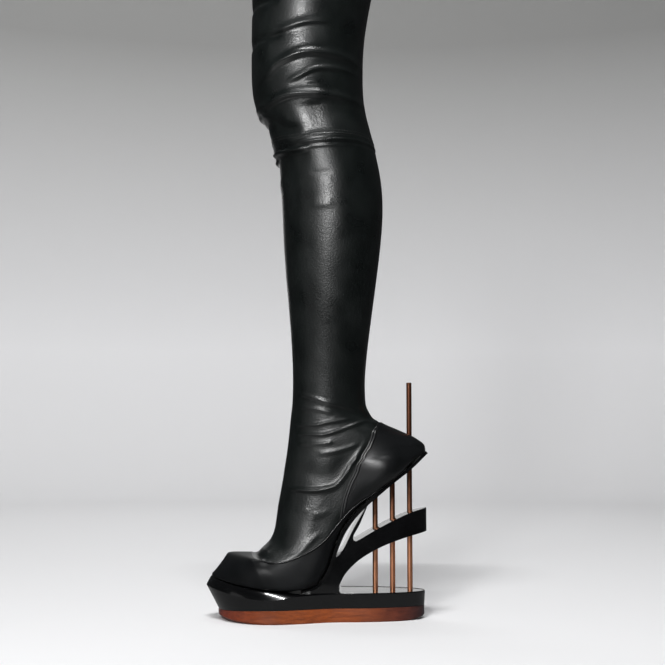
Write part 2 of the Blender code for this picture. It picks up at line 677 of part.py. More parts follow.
def build_heel_counter(parts, rod_room):
    """The smooth panel round the heel, behind the slanting seam and above the shell's low edge."""

    def lower_angle(row):
        if row < SHELL_FIRST_ROW:
            tip_share = min(max(row - HEEL_TIP_ROW, 0.0), 1.0)
            return math.pi + tip_share * (FEATHER_ANGLE - math.pi)
        return min(FEATHER_ANGLE, angle_at_share(row, section_at(row).topline_at - TOPLINE_CLEARANCE))

    counter = overlay(
        "heel_counter",
        [row for row in ring_positions() if HEEL_TOP_ROW <= row <= COUNTER_LAST_ROW],
        lambda row: angle_at_share(row, section_at(row).counter_at),
        lower_angle,
        lambda row: row <= HEEL_TIP_ROW,
        COUNTER_THICKNESS,
        "counter_leather",
        parts,
    )
    add_boolean(counter, "DIFFERENCE", rod_room)
    return counter


def build_insole(parts, rod_room):
    """The insole inside the upper, just above its lasting margin."""
    stations = []
    low = WALL + INSOLE_RISE
    for k in range(INSOLE_STEPS + 1):
        position = INSOLE_FIRST_ROW + k * (INSOLE_LAST_ROW - INSOLE_FIRST_ROW) / INSOLE_STEPS
        row = section_at(position)
        length = math.hypot(row.back_x - row.front_x, row.back_z - row.front_z)
        back_reach = (1 - row.widest_at) * length - WALL
        level = max(1 - INSOLE_RISE / back_reach, 0.0)
        narrowed = (1 - level**row.back_power) ** (1 / row.back_power)
        half = (row.half_width - WALL) * narrowed - INSOLE_CLEARANCE
        stations.append((
            sole_line(position, -(low + INSOLE_THICKNESS)),
            sole_line(position, -low),
            row.centre_y - half,
            row.centre_y + half,
        ))
    insole = plate("insole", stations, "insole_leather", parts)
    add_boolean(insole, "DIFFERENCE", rod_room)
    return insole


def build_rod(name, x, bottom, top_at, parts):
    """A copper rod. Its top end follows a height along the boot, so that it fits what it meets."""
    bpy.ops.mesh.primitive_cylinder_add(
        vertices=ROD_SIDES, radius=ROD_DIAMETER / 2 * MM, depth=MM, location=(0, 0, 0)
    )
    rod = bpy.context.object
    rod.name = rod.data.name = name
    for vertex in rod.data.vertices:
        across = vertex.co.x / MM
        height = top_at(x + across) if vertex.co.z > 0 else bottom
        vertex.co.z = height * MM
    rod.location.x = x * MM
    rod.data.shade_smooth()
    rod.data.set_sharp_from_angle(angle=SHARP_ANGLE)
    rod.data.materials.append(bpy.data.materials[f"copper_{name}"])
    for owner in list(rod.users_collection):
        owner.objects.unlink(rod)
    parts.objects.link(rod)
    return rod


def shank_underside_at(x):
    """Height of the shank's underside along the boot."""
    rows = np.linspace(SHANK_LAST_ROW, HEEL_TIP_ROW + 1, SHANK_UNDERSIDE_STEPS)
    points = [sole_line(row, GAP + shank_thickness(row)) for row in rows]
    return float(np.interp(x, [point[0] for point in points], [point[1] for point in points]))


def main():
    """Builds every piece in its place."""
    for leftover in list(bpy.data.objects):
        bpy.data.objects.remove(leftover, do_unlink=True)
    parts = bpy.data.collections.new("thigh_high_boot")
    tools = bpy.data.collections.new("boot_tools")
    bpy.context.scene.collection.children.link(parts)
    bpy.context.scene.collection.children.link(tools)
    add_finishes()

    front_x, middle_x, rear_x = (ROD_FRONT_X + k * ROD_SPACING for k in range(3))
    socket_floor = SLAB_TOP - ROD_SOCKET_DEPTH
    sockets = [
        rod_cutter("front_socket", front_x, socket_floor, ARM_CUT_TOP, tools),
        rod_cutter("middle_socket", middle_x, socket_floor, ARM_CUT_TOP, tools),
        rod_cutter("rear_socket", rear_x, socket_floor, ROD_TOP + GAP, tools),
    ]
    rod_room = sockets[-1]

    build_outsole(parts)
    build_platform(parts, tools, sockets)
    build_shank(parts, rod_room)
    build_upper(parts, rod_room)
    build_insole(parts, rod_room)
    build_vamp_shell(parts)
    build_heel_counter(parts, rod_room)
    rod_bottom = socket_floor + GAP
    build_rod("rod_front", front_x, rod_bottom, lambda x: shank_underside_at(x) - GAP, parts)
    build_rod("rod_middle", middle_x, rod_bottom, lambda x: shank_underside_at(x) - GAP, parts)
    build_rod("rod_rear", rear_x, rod_bottom, lambda x: ROD_TOP, parts)


main()
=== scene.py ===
"""Looks of the left thigh-high boot: a creased stretch leather leg in a court-shoe shell, on a carved and
lacquered platform with a wooden sole plate and copper rods.

The frame gives the solids and where they stand. Sizes here are in millimetres and become metres where a mesh
is made. The toe points to -X, the outer side of the foot to -Y and the leg to +Z.
"""

import math
from collections import namedtuple

import bmesh
import bpy
import numpy as np
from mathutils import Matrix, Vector

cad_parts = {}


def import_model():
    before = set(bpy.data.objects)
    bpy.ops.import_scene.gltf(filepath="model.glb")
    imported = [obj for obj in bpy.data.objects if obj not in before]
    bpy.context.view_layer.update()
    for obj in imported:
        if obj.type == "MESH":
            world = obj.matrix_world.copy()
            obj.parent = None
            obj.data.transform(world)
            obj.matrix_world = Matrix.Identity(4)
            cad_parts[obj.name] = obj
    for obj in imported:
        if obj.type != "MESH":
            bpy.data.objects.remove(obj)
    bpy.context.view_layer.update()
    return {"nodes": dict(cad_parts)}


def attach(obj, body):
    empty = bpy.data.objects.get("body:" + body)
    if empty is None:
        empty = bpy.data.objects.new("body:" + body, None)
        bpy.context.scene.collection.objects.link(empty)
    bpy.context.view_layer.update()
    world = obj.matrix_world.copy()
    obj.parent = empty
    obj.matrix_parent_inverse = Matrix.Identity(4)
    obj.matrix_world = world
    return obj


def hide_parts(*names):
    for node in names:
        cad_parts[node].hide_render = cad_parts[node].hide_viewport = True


MM = 0.001
MERGE_DISTANCE = 1e-6
TINY_LENGTH = 1e-9
TINY_ANGLE = 1e-6
GAP = 0.3

# Sole unit and rods
OUTSOLE_THICKNESS = 13.0
OUTSOLE_FLAT_FROM = -64.0
OUTSOLE_FLAT_TO = 66.0
OUTSOLE_TOE_DROP = 3.0
OUTSOLE_BEVEL = 1.6
TOE_SPRING = 3.6
HEEL_SPRING = 3.0
SLAB_TOP = 27.0
EDGE_CHAMFER = 0.8
BEVEL_CROWN = 0.7
BALL_X = -58.0
WAIST_X = 12.0
TOE_BEND = 6.0
TOE_BEND_POWER = 1.5
TOE_SPRING_POWER = 1.3
HEEL_SPRING_POWER = 1.6
TOE_DROP_POWER = 1.5
ROD_DIAMETER = 5.2
ROD_FRONT_X = 42.0
ROD_SPACING = 17.0
ROD_PLACES = {
    "rod_front": ROD_FRONT_X,
    "rod_middle": ROD_FRONT_X + ROD_SPACING,
    "rod_rear": ROD_FRONT_X + 2 * ROD_SPACING,
}
ROD_TOP = 230.0
ROD_SOCKET_DEPTH = 8.0
ROD_HOLE_BOTTOM = 15.0
ROD_HOLE_TOP = ROD_TOP + 5.0
SHANK_HEEL_THICKNESS = 2.6
SHANK_WAIST_THICKNESS = 4.0
SHANK_TOE_THICKNESS = 1.8
SHANK_FULL_SHARE = 0.6

# Plan outlines of the sole unit: two ends, and half widths at the ball and at the waist
Outline = namedtuple("Outline", "toe_x heel_x ball_outer ball_inner waist_outer waist_inner toe_power")
TREAD_OUTLINE = Outline(-108.0, 88.6, 43.5, 38.5, 27.2, 25.2, 2.3)
SOLE_PLATE_OUTLINE = Outline(-111.5, 89.8, 44.6, 39.6, 28.0, 26.0, 2.2)
ARRIS_OUTLINE = Outline(-124.0, 90.6, 46.0, 41.0, 28.5, 26.5, 1.75)
FEATHER_OUTLINE = Outline(-118.8, 89.8, 40.2, 36.6, 27.7, 25.7, 1.75)
NECK_OUTLINE = Outline(-118.0, 92.6, 39.6, 36.0, 27.3, 25.3, 1.75)
SHANK_OUTLINE = Outline(-118.0, 92.6, 38.6, 35.0, 27.6, 25.6, 1.75)

# Heights along the boot, as pairs of x and z
ARRIS_HEIGHTS = [
    (-124.0, 32.0),
    (-104.0, 28.2),
    (-90.0, 25.4),
    (-73.0, 23.3),
    (-58.0, 22.8),
    (-42.0, 24.8),
    (-24.0, SLAB_TOP - EDGE_CHAMFER),
    (91.0, SLAB_TOP - EDGE_CHAMFER),
]
FOOTBED_HEIGHTS = [
    (-118.8, 41.0),
    (-110.0, 38.4),
    (-99.0, 35.8),
    (-86.0, 33.6),
    (-72.0, 31.6),
    (-58.0, 30.2),
    (-44.0, 29.0),
    (-30.0, 27.6),
    (-16.0, SLAB_TOP),
    (91.0, SLAB_TOP),
]

# Side view of the neck: the arm, the fork, and the tine with the open slot that it leaves under the shank
ARM_UNDERSIDE = [(6.0, 33.5), (11.0, 43.6), (23.5, 57.0), (44.0, 69.4), (68.0, 78.4), (94.0, 85.0)]
ARM_TOP = [(94.0, 107.8), (79.0, 104.0), (61.5, 97.0), (40.5, 86.4), (27.0, 78.6)]
FORK_CROTCH = [(22.8, 76.4), (20.2, 77.6), (19.9, 80.6)]
TINE_EDGE = [(26.4, 93.0), (33.4, 109.3)]
SLOT_EDGE = [
    (31.4, 107.4),
    (29.4, 104.0),
    (26.8, 99.6),
    (23.0, 93.3),
    (18.9, 86.0),
    (15.0, 78.0),
    (11.8, 71.6),
    (8.9, 66.7),
    (6.2, 63.4),
    (3.4, 61.4),
]
ARM_CUT_TOP = 108.0
NECK_FOOT_FILLET = 4.5
NECK_FILLET_ANGLES = (90.0, 15.0)
NECK_FOOT_FRONT = -22.0
NECK_FOOT_BACK = 6.0
NECK_ROOT_Z = 22.0
NECK_SINK = 0.2
NECK_REACH = 50.0
NECK_PLAN_HEIGHT = 140.0
NECK_LAST_ROW = 32.4
SHANK_TIP_REACHES = (10.8, 9.6, 7.0, 3.5)
SHANK_TIP_HALF_WIDTH = 2.5

# Eased edges of the hard pieces: width, and the least angle between the faces at an edge in degrees
SOLE_EDGE = (0.5, 30.0)
SLAB_EDGE = (0.4, 26.0)
FINE_EDGE = (0.35, 40.0)

# Sections of the boot's leg and foot: loops through a front and a back point. They are the solids' own, apart
# from a boxier crown of toe and instep, and the edges of shell and heel panel along the arch.
Section = namedtuple(
    "Section",
    "front_x front_z back_x back_z half_width centre_y "
    "widest_at front_power back_power topline_at counter_at",
)
# The share given where a section has no shell edge, or no panel edge
NONE = 1.0
SECTIONS = [
    # Thigh and knee
    Section(-85.0, 745.0, 55.0, 745.0, 66.0, 0.0, 0.50, 2.1, 2.1, NONE, NONE),
    Section(-83.0, 690.0, 49.5, 690.0, 62.5, 0.0, 0.50, 2.1, 2.1, NONE, NONE),
    Section(-82.0, 640.0, 43.5, 640.0, 59.0, 0.0, 0.50, 2.1, 2.1, NONE, NONE),
    Section(-82.4, 600.0, 35.0, 600.0, 56.0, 0.0, 0.50, 2.1, 2.1, NONE, NONE),
    Section(-82.6, 562.0, 30.6, 562.0, 54.0, 0.0, 0.50, 2.1, 2.1, NONE, NONE),
    Section(-82.2, 528.0, 30.6, 528.0, 52.5, 0.0, 0.50, 2.1, 2.1, NONE, NONE),
    Section(-77.8, 506.0, 32.4, 506.0, 51.5, 0.0, 0.50, 2.1, 2.1, NONE, NONE),
    Section(-66.5, 488.0, 37.0, 488.0, 50.0, 0.0, 0.50, 2.1, 2.1, NONE, NONE),
    Section(-60.0, 470.0, 41.0, 470.0, 49.0, 0.0, 0.50, 2.1, 2.1, NONE, NONE),
    # Calf and ankle
    Section(-53.0, 442.0, 48.0, 442.0, 49.5, 0.0, 0.50, 2.0, 2.1, NONE, NONE),
    Section(-50.5, 405.0, 51.8, 405.0, 50.0, 0.0, 0.52, 2.0, 2.1, NONE, NONE),
    Section(-48.5, 355.0, 47.0, 355.0, 46.5, 0.0, 0.52, 2.0, 2.1, NONE, NONE),
    Section(-43.6, 305.0, 40.3, 305.0, 41.0, 0.0, 0.51, 2.0, 2.1, NONE, NONE),
    Section(-40.2, 262.0, 34.6, 262.0, 35.5, 0.0, 0.50, 2.0, 2.1, NONE, NONE),
    Section(-39.2, 232.0, 32.0, 232.0, 32.0, 0.0, 0.50, 2.0, 2.0, NONE, NONE),
    Section(-39.8, 210.0, 32.6, 211.0, 31.0, 0.0, 0.50, 2.0, 2.0, NONE, NONE),
    # Heel
    Section(-41.0, 199.0, 37.0, 199.5, 30.6, 0.0, 0.48, 2.0, 2.0, NONE, NONE),
    Section(-41.9, 190.0, 47.5, 190.0, 30.8, 0.0, 0.44, 2.0, 2.0, NONE, 0.95),
    Section(-42.8, 181.0, 65.5, 181.8, 31.2, 0.0, 0.40, 2.0, 2.0, NONE, 0.75),
    Section(-43.8, 171.5, 81.0, 174.6, 31.6, 0.0, 0.36, 2.0, 2.0, NONE, 0.64),
    Section(-45.0, 161.5, 89.8, 167.4, 31.8, 0.0, 0.34, 2.0, 2.0, NONE, 0.57),
    Section(-46.6, 151.0, 90.6, 162.2, 32.0, 0.0, 0.34, 2.0, 2.2, 0.985, 0.54),
    Section(-47.6, 144.5, 84.0, 155.4, 32.0, 0.0, 0.36, 2.0, 3.0, 0.975, 0.54),
    Section(-48.6, 137.5, 73.5, 146.4, 32.0, 0.0, 0.39, 2.0, 4.0, 0.97, 0.57),
    # Arch, from the heel seat down to the ball
    Section(-50.2, 128.0, 58.0, 134.8, 32.0, 0.0, 0.44, 2.0, 5.0, 0.965, 0.61),
    Section(-52.0, 118.0, 41.0, 121.2, 32.2, 0.0, 0.49, 2.0, 5.0, 0.95, 0.68),
    Section(-53.6, 109.0, 28.4, 110.4, 32.6, 0.0, 0.53, 2.0, 5.0, 0.90, 0.76),
    Section(-55.0, 98.5, 15.8, 96.6, 33.2, 0.0, 0.56, 2.0, 5.0, 0.875, 0.875),
    Section(-56.8, 87.0, 7.0, 83.0, 34.0, -0.4, 0.58, 2.0, 5.0, 0.835, NONE),
    Section(-60.2, 78.0, 1.6, 69.4, 35.2, -0.8, 0.60, 2.0, 5.0, 0.72, NONE),
    Section(-64.6, 72.4, -3.0, 55.0, 36.6, -1.2, 0.62, 2.3, 5.0, 0.54, NONE),
    Section(-68.4, 69.0, -8.6, 43.6, 38.0, -1.5, 0.64, 2.6, 5.0, 0.42, NONE),
    Section(-71.4, 66.8, -17.0, 34.4, 39.2, -1.7, 0.68, 2.8, 5.5, 0.31, NONE),
    Section(-73.8, 65.4, -30.0, 30.6, 40.2, -1.8, 0.72, 2.8, 6.0, 0.22, NONE),
    Section(-76.0, 64.6, -45.0, 29.6, 40.8, -1.8, 0.76, 2.8, 6.0, 0.12, NONE),
    # Toe box
    Section(-79.0, 64.2, -60.0, 30.7, 40.6, -1.4, 0.80, 2.7, 6.0, 0.0, NONE),
    Section(-84.0, 64.0, -74.0, 32.2, 38.4, -0.4, 0.82, 2.3, 6.0, 0.0, NONE),
    Section(-90.0, 63.9, -86.0, 34.0, 34.6, 1.0, 0.84, 2.0, 6.0, 0.0, NONE),
    Section(-97.0, 63.6, -96.0, 35.6, 29.6, 2.4, 0.86, 1.7, 6.0, 0.0, NONE),
    Section(-102.4, 62.6, -104.0, 37.4, 24.2, 3.5, 0.86, 1.5, 6.0, 0.0, NONE),
    Section(-107.6, 55.8, -110.0, 38.8, 18.6, 4.3, 0.86, 1.5, 5.0, 0.0, NONE),
    Section(-112.6, 49.2, -114.6, 40.1, 12.6, 5.0, 0.86, 1.5, 4.0, 0.0, NONE),
    Section(-116.6, 44.4, -117.4, 41.0, 6.6, 5.6, 0.86, 1.6, 3.0, 0.0, NONE),
    Section(-118.4, 42.6, -118.6, 41.4, 2.2, 5.9, 0.86, 2.0, 2.0, 0.0, NONE),
]
LAST_ROW = len(SECTIONS) - 1
LEG_LAST_ROW = 12.0
HEEL_TOP_ROW = 17.0
HEEL_TIP_ROW = 21.0
HEEL_SEAT_ROW = 22.0
SHELL_FIRST_ROW = 24.0
COUNTER_LAST_ROW = 27.0
SHANK_LAST_ROW = 33.0
THROAT_ROW = 35.0
LAST_HOLLOW_ROW = 41.0
FEATHER_ANGLE = math.radians(150.0)
LEG_SMOOTHING = 0.55
LEG_SMOOTH_TO = 13.0
LEG_AS_DRAWN_FROM = 16.0
SMOOTHING_SPREAD = 2.0
SMOOTHING_SAMPLES = 17

# The flat triangular facet on top of the toe box
FACET_HEIGHT = 64.0
FACET_FALL = 0.15
FACET_SOFTNESS = 0.5
FACET_FIRST_ROW = 31.0
FACET_FULL_ROW = 33.6

# Leather sheets: thicknesses, the gaps between them, and what is raised on them
OVERLAY_GAP = 0.5
PANEL_TO_SHELL = 0.008
COVER_FADE = 0.06
COVER_FULL = COVER_FADE / 4
SHELL_THICKNESS = 1.4
COUNTER_THICKNESS = 0.9
SHEET_ROUNDING = 0.32
SHEET_EDGE_ANGLE = 60.0
SEAM_LINES = (0.8, 3.2)
SEAM_LINE_HEIGHT = 0.4
SEAM_LINE_WIDTH = 0.6
HEEL_SWELL_PLACE = (50.0, 145.6)
HEEL_SWELL = 4.6
HEEL_SWELL_WIDTHS = (15.0, 20.0)
PIPING_RADIUS = 0.6
PIPING_RISE = 3.0
PIPING_SINK = 2.5
PIPING_ROWS = (22.8, 23.6, 31.6, 33.4)

# Depth of the lining under the leather, by row number
LINING_DEPTHS = [
    (0.0, 1.6),
    (1.0, 1.8),
    (2.5, 5.0),
    (8.0, 5.0),
    (9.5, 2.4),
    (13.0, 2.4),
    (14.5, 4.6),
    (43.0, 4.6),
]

# Folds of the leather in side view: height of the crest, how far it runs out above and below, how deep it
# dips below the crest as a share of the height, and the crest's path of x and z from front to back
Fold = namedtuple("Fold", "height above below dip path")
FOLDS = [
    # Above and over the knee
    Fold(-2.0, 4.2, 4.2, 0.0, [(-140, 608), (-84, 608), (-66, 607), (-50, 603)]),
    Fold(-2.0, 4.0, 4.0, 0.0, [(-140, 569), (-84, 569.5), (-62, 570), (-46, 572)]),
    Fold(1.2, 4.0, 2.6, 0.5, [(-84, 569), (-56, 572), (-42, 576), (-25, 580), (-12, 581), (2, 580)]),
    Fold(2.4, 4.6, 3.0, 0.45, [
        (-78, 521), (-66, 530), (-56, 539.4), (-43, 545.2), (-31, 549.2),
        (-20, 550.3), (-12, 549.8), (5, 548.6), (19, 546.5), (36, 543),
    ]),
    Fold(1.4, 3.0, 2.2, 0.45, [
        (-46, 520.5), (-39, 523.5), (-31, 527.4), (-24, 531),
        (-16, 534), (-4, 535.3), (12, 535.8), (28, 534),
    ]),
    Fold(0.7, 2.4, 2.0, 0.5, [(-28, 520.5), (-20, 521.5), (-12, 520.5)]),
    Fold(2.3, 4.6, 3.0, 0.45, [
        (-140, 505), (-84, 503), (-68, 502.6), (-56, 505.8), (-42, 509),
        (-25, 509.6), (-9, 509), (5, 507.9), (19, 506.8), (40, 504),
    ]),
    Fold(-1.9, 15.0, 15.0, 0.0, [(-18, 505), (-17, 493), (-16, 481), (-15, 464)]),
    Fold(1.2, 16.0, 10.0, 0.0, [(-60, 470), (-34, 468), (-14, 467), (8, 468), (30, 470)]),
    Fold(-2.6, 4.5, 5.5, 0.0, [(-140, 490), (-64, 489), (-48, 479), (-28, 474)]),
    # The turned fold below the knee seam, at the shin
    Fold(3.4, 3.0, 3.0, 0.6, [(-130, 459), (-58, 458.5), (-46, 456.5), (-34, 456), (-20, 456)]),
    Fold(-1.4, 2.4, 2.4, 0.0, [(-62, 463.4), (-51, 461.6), (-34, 460.5), (-21, 460)]),
    # Small dents down the calf
    Fold(0.9, 4.0, 4.0, 0.0, [(-120, 428), (-52, 428), (-42, 426)]),
    Fold(-0.35, 3.0, 3.0, 0.0, [(-24, 433.5), (-12, 431.5), (2, 432.5)]),
    Fold(0.5, 4.0, 3.4, 0.3, [(-22, 401.5), (-10, 400.5), (2, 401.5)]),
    # Round the ankle
    Fold(0.8, 1.8, 1.6, 0.3, [(-36, 218.5), (-28, 216.8), (-20, 214.4), (-10, 211), (0, 208), (12, 203.5)]),
    Fold(-1.6, 3.0, 3.4, 0.0, [(-6, 207.5), (12, 201.3), (26, 197.5), (37, 195.1), (46, 193)]),
    Fold(0.8, 1.8, 1.6, 0.3, [(-36, 206), (-29, 205.1), (-18, 203.2), (-5, 200.5), (3, 198.4)]),
    Fold(0.9, 1.7, 1.5, 0.3, [(-38, 187.6), (-32, 187.8), (-17, 187.8), (-3, 190.5), (11, 192.6), (20, 194)]),
    Fold(1.0, 1.7, 1.5, 0.3, [
        (-38, 179.4), (-32, 179), (-12, 178.3), (1, 181), (16, 186), (29, 190.7), (38, 193),
    ]),
    Fold(0.7, 1.8, 1.6, 0.3, [(-36, 169.4), (-28, 169.4), (-14, 169.5), (-5, 170.4), (2, 172.4)]),
    Fold(0.6, 2.2, 2.0, 0.3, [(-16, 159.6), (-8, 160.6), (3, 162.4), (19, 167.3), (27, 171)]),
    # The long swag from the instep up beside the heel seam
    Fold(1.9, 2.6, 2.2, 0.2, [
        (-46, 127), (-39, 126), (-32, 125.3), (-19, 124.7), (-8, 126), (1, 128.4),
        (10, 135.5), (16, 144.2), (24, 156.4), (30, 166.2), (35, 176.2),
    ]),
    Fold(-0.7, 7.0, 7.0, 0.0, [(-43, 145), (-27, 143.5), (-12, 139), (0, 141), (9, 150.3), (19, 163.7)]),
    Fold(0.3, 3.6, 3.0, 0.2, [(-36, 107), (-31, 106.3), (-22, 107)]),
    Fold(0.35, 3.6, 3.0, 0.2, [(-19, 101), (-14, 101.8), (0, 107)]),
    Fold(0.45, 3.0, 2.6, 0.2, [(-44, 58), (-40, 60.7), (-35, 63), (-24, 73.7), (-16, 81.2), (-8, 87)]),
]
DIP_REACH = 5.5
FOLD_REACH = 3
FOLD_FADE = 0.22
INNER_SIDE_SHARE = 0.85
INNER_SIDE_SHIFT = (5.0, 4.0)
SIDE_BLEND = 10.0

# The lapped seam under the knee: its height along x, and its ridges as offset, height and half width
KNEE_SEAM = [
    (-70.0, 470.0),
    (-53.0, 468.0),
    (-36.7, 466.4),
    (-23.4, 468.0),
    (2.4, 469.3),
    (25.0, 470.4),
    (50.0, 469.0),
]
KNEE_RIDGES = [(1.0, 0.30, 0.7), (-1.2, 0.35, 0.7), (-5.0, 0.70, 1.2), (-10.4, 0.40, 1.6)]
KNEE_LAP = 0.7
KNEE_LAP_FROM = -7.8
KNEE_LAP_TO = -6.2
KNEE_LAP_FADE = 24.0
KNEE_RIDGES_FADE_FROM = 12.0
KNEE_RIDGES_FADE_TO = 40.0
KNEE_RIDGES_LEAST = 0.4

# Stitches
STITCH_PITCH = 3.2
STITCH_LENGTH = 2.4
THREAD_THICKNESS = 0.55
THREAD_LIFT = 0.1
KNEE_STITCH_RISES = (1.0, 3.9)
COLLAR_STITCH_HEIGHT = 736.0
HEEL_STITCH_FIRST_ROW = HEEL_TOP_ROW + 1.6
HEEL_STITCH_LAST_ROW = COUNTER_LAST_ROW - 0.6
HEEL_STITCH_TURN = 0.07

# How finely the leather is drawn: row number, and millimetres between rings there
RING_SPACING = [
    (0.0, 3.6),
    (2.2, 3.0),
    (2.8, 1.2),
    (7.4, 1.1),
    (7.7, 0.75),
    (9.0, 0.75),
    (9.8, 2.2),
    (13.4, 2.6),
    (14.4, 1.0),
    (26.0, 1.0),
    (29.0, 1.8),
    (31.0, 3.0),
    (43.0, 3.0),
]
RING_SEARCH_STEP = 0.01
LEATHER_COLUMNS = 168
LINING_COLUMNS = LEATHER_COLUMNS // 2
RING_STEPS = 720
LINING_RINGS = 90
FOLD_STEPS = 28
SHELL_ROWS_TO_THROAT = 120
SHELL_ROWS_OVER_TOE = 60
SHELL_EDGE_SHARE = 0.93
SHELL_COLUMNS = 38
SHELL_EDGE_COLUMNS = 16
PANEL_ROWS = 110
PANEL_SEAM_SHARE = 0.1
PANEL_SEAM_COLUMNS = 22
PANEL_COLUMNS = 40
SEAM_PATH_STEPS = 80
PIPING_STEPS = 160
RING_PATH_STEPS = 241
RING_PATH_ROUNDS = 3
HEIGHT_SEARCH_STEPS = 600

# How finely the hard pieces are drawn
SOLE_STATIONS = 110
SLAB_STATIONS = 120
BEVEL_LOOPS = 6
SOLE_LINE_STEP = 0.02
FILLET_STEPS = 8
ARM_UNDERSIDE_STEPS = 48
ARM_TOP_STEPS = 36
FORK_STEPS = 32
SLOT_STEPS = 54
NECK_ROWS = 90
SHANK_ROWS = 70
SHANK_COLUMNS = 9
ROD_END_STEPS = 80
ROD_SIDES = 48
SOCKET_SIDES = 40
PIPING_SIDES = 10
STITCH_SIDES = 8
STITCH_RINGS = 6
EDGE_SEGMENTS = 3

# Leathers: dark and light tone, roughness from glossy to dull, pores per metre, their relief, specular level
Leather = namedtuple("Leather", "name tones gloss pores relief specular")
STRETCH_TONES = ((0.0028, 0.0040, 0.0038), (0.0052, 0.0070, 0.0066))
SMOOTH_TONES = ((0.0030, 0.0034, 0.0038), (0.0050, 0.0056, 0.0062))
BOUND_TONES = ((0.0050, 0.0056, 0.0060), (0.0080, 0.0088, 0.0094))
INSOLE_TONES = ((0.026, 0.022, 0.020), (0.045, 0.040, 0.036))
LEATHERS = [
    Leather("stretch_leather_grain", STRETCH_TONES, (0.27, 0.38), 620.0, 0.28, 0.5),
    Leather("toe_shell_grain", SMOOTH_TONES, (0.36, 0.44), 900.0, 0.08, 0.15),
    Leather("heel_panel_grain", SMOOTH_TONES, (0.28, 0.36), 900.0, 0.08, 0.5),
    Leather("bound_edge_grain", BOUND_TONES, (0.20, 0.28), 900.0, 0.04, 0.5),
    Leather("insole_leather_grain", INSOLE_TONES, (0.50, 0.65), 700.0, 0.20, 0.5),
]
GRAIN_DEPTH = 0.5
PORE_SHARE = -0.6
WRINKLES_PER_PORE = 0.45
MOTTLE_PER_METRE = 40.0

# Other finishes: pairs of tones, stops of a position and a colour, and places along X or Z in metres
LINING_TONES = ((0.050, 0.046, 0.043), (0.090, 0.084, 0.078))
LACQUER_TONES = ((0.0012, 0.0013, 0.0015), (0.0026, 0.0027, 0.0030))
COPPER_TONES = ((0.95, 0.42, 0.23), (0.16, 0.062, 0.033))
# Painted reflection: the rods are painted bright copper low down, where the floor would be mirrored, and
# brown higher up, fading between these heights
COPPER_PAINTED_REFLECTION_FADE_FROM = 0.07
COPPER_PAINTED_REFLECTION_FADE_TO = 0.13
COPPER_SMUDGE_SHARE = 0.25
THREAD_TONES = ((0.010, 0.010, 0.010), (0.030, 0.030, 0.030))
WOOD_ENDS = (-0.112, 0.09)
# Tone along the sole: redder towards the toe, warm in the middle, and painted shade dark at the heel end
# where the sole turns away
WOOD_STOPS_WITH_PAINTED_SHADE = [
    (0.0, (0.165, 0.018, 0.006)),
    (0.3, (0.31, 0.069, 0.011)),
    (0.62, (0.33, 0.073, 0.0115)),
    (0.86, (0.15, 0.029, 0.011)),
    (1.0, (0.0225, 0.011, 0.015)),
]
STREAK_STOPS = [(0.3, (0.36, 0.28, 0.26)), (0.68, (1.0, 1.0, 1.0))]
STREAK_SHARE = 0.85
# Painted shade: the wall is painted darker higher up, fading between these heights
SWEEP_TONE_AND_PAINTED_SHADE = ((0.82, 0.82, 0.83), (0.30, 0.30, 0.295))
SWEEP_PAINTED_SHADE_FROM = 0.45
SWEEP_PAINTED_SHADE_TO = 1.5

# Studio, in metres and watts. Glows and cards are only mirrored in gloss, and the fill isn't mirrored
Light = namedtuple("Light", "name place target size power lights mirrored")
LIGHTS = [
    Light("key", (-0.40, -1.55, 0.83), (0.0, 0.0, 0.44), (0.16, 0.28), 12.5, True, True),
    Light("fill", (-0.2, -1.1, 1.8), (0.0, 0.0, 0.0), (0.7, 0.5), 12.0, True, False),
    Light("overhead", (-0.1, -0.72, 2.1), (0.0, -0.2, 0.0), (0.6, 0.05), 22.0, True, True),
    Light("wall", (-0.4, 0.9, 2.1), (-0.15, 2.7, 0.5), (1.6, 0.5), 23.0, True, True),
    Light("glow_by_key", (-0.42, -1.60, 0.75), (0.0, 0.0, 0.44), (0.62, 0.7), 4.4, False, True),
    Light("glow_round_key", (-0.44, -1.65, 0.70), (0.0, 0.0, 0.44), (1.5, 1.0), 2.2, False, True),
    Light("card_left", (-1.2, -1.3, 0.7), (0.0, 0.0, 0.4), (2.0, 1.4), 2.6, False, True),
    Light("card_behind_leg", (0.0, 1.5, 0.9), (0.0, 0.0, 0.42), (0.4, 0.9), 2.0, False, True),
    Light("card_behind_slab", (0.15, 0.9, 0.1), (0.0, 0.0, 0.03), (1.0, 0.2), 0.4, False, True),
    Light("card_behind_toe", (-0.33, 1.0, 0.5), (-0.1, 0.0, 0.06), (0.36, 0.34), 0.34, False, True),
    Light("card_on_floor", (-0.15, -0.09, 0.001), (-0.15, -0.09, 1.0), (1.1, 0.38), 0.22, False, True),
    Light("card_for_rods", (-0.29, -0.48, 0.001), (-0.29, -0.48, 1.0), (0.54, 0.52), 0.95, False, True),
]
ROOM_COLOUR = (0.75, 0.77, 0.8, 1.0)
ROOM_STRENGTH = 0.045
SWEEP_RADIUS = 2.7
SWEEP_HEIGHT = 3.2
COVE_RADIUS = 0.7
COVE_STEPS = 16
SWEEP_STEPS = 144
CAMERA_PLACE = (0.0, -1.145, 0.178)
CAMERA_TILT = math.radians(95.1)
SENSOR_WIDTH = 36.0
PHOTO_WIDTH_PIXELS = 665
FOCAL_LENGTH_PIXELS = 1150


# Form of the boot's leg and foot


def smoothstep(low, high, value):
    """Goes from 0 to 1 between two values, with no kink."""
    share = np.clip((value - low) / (high - low), 0.0, 1.0)
    return share * share * (3 - 2 * share)


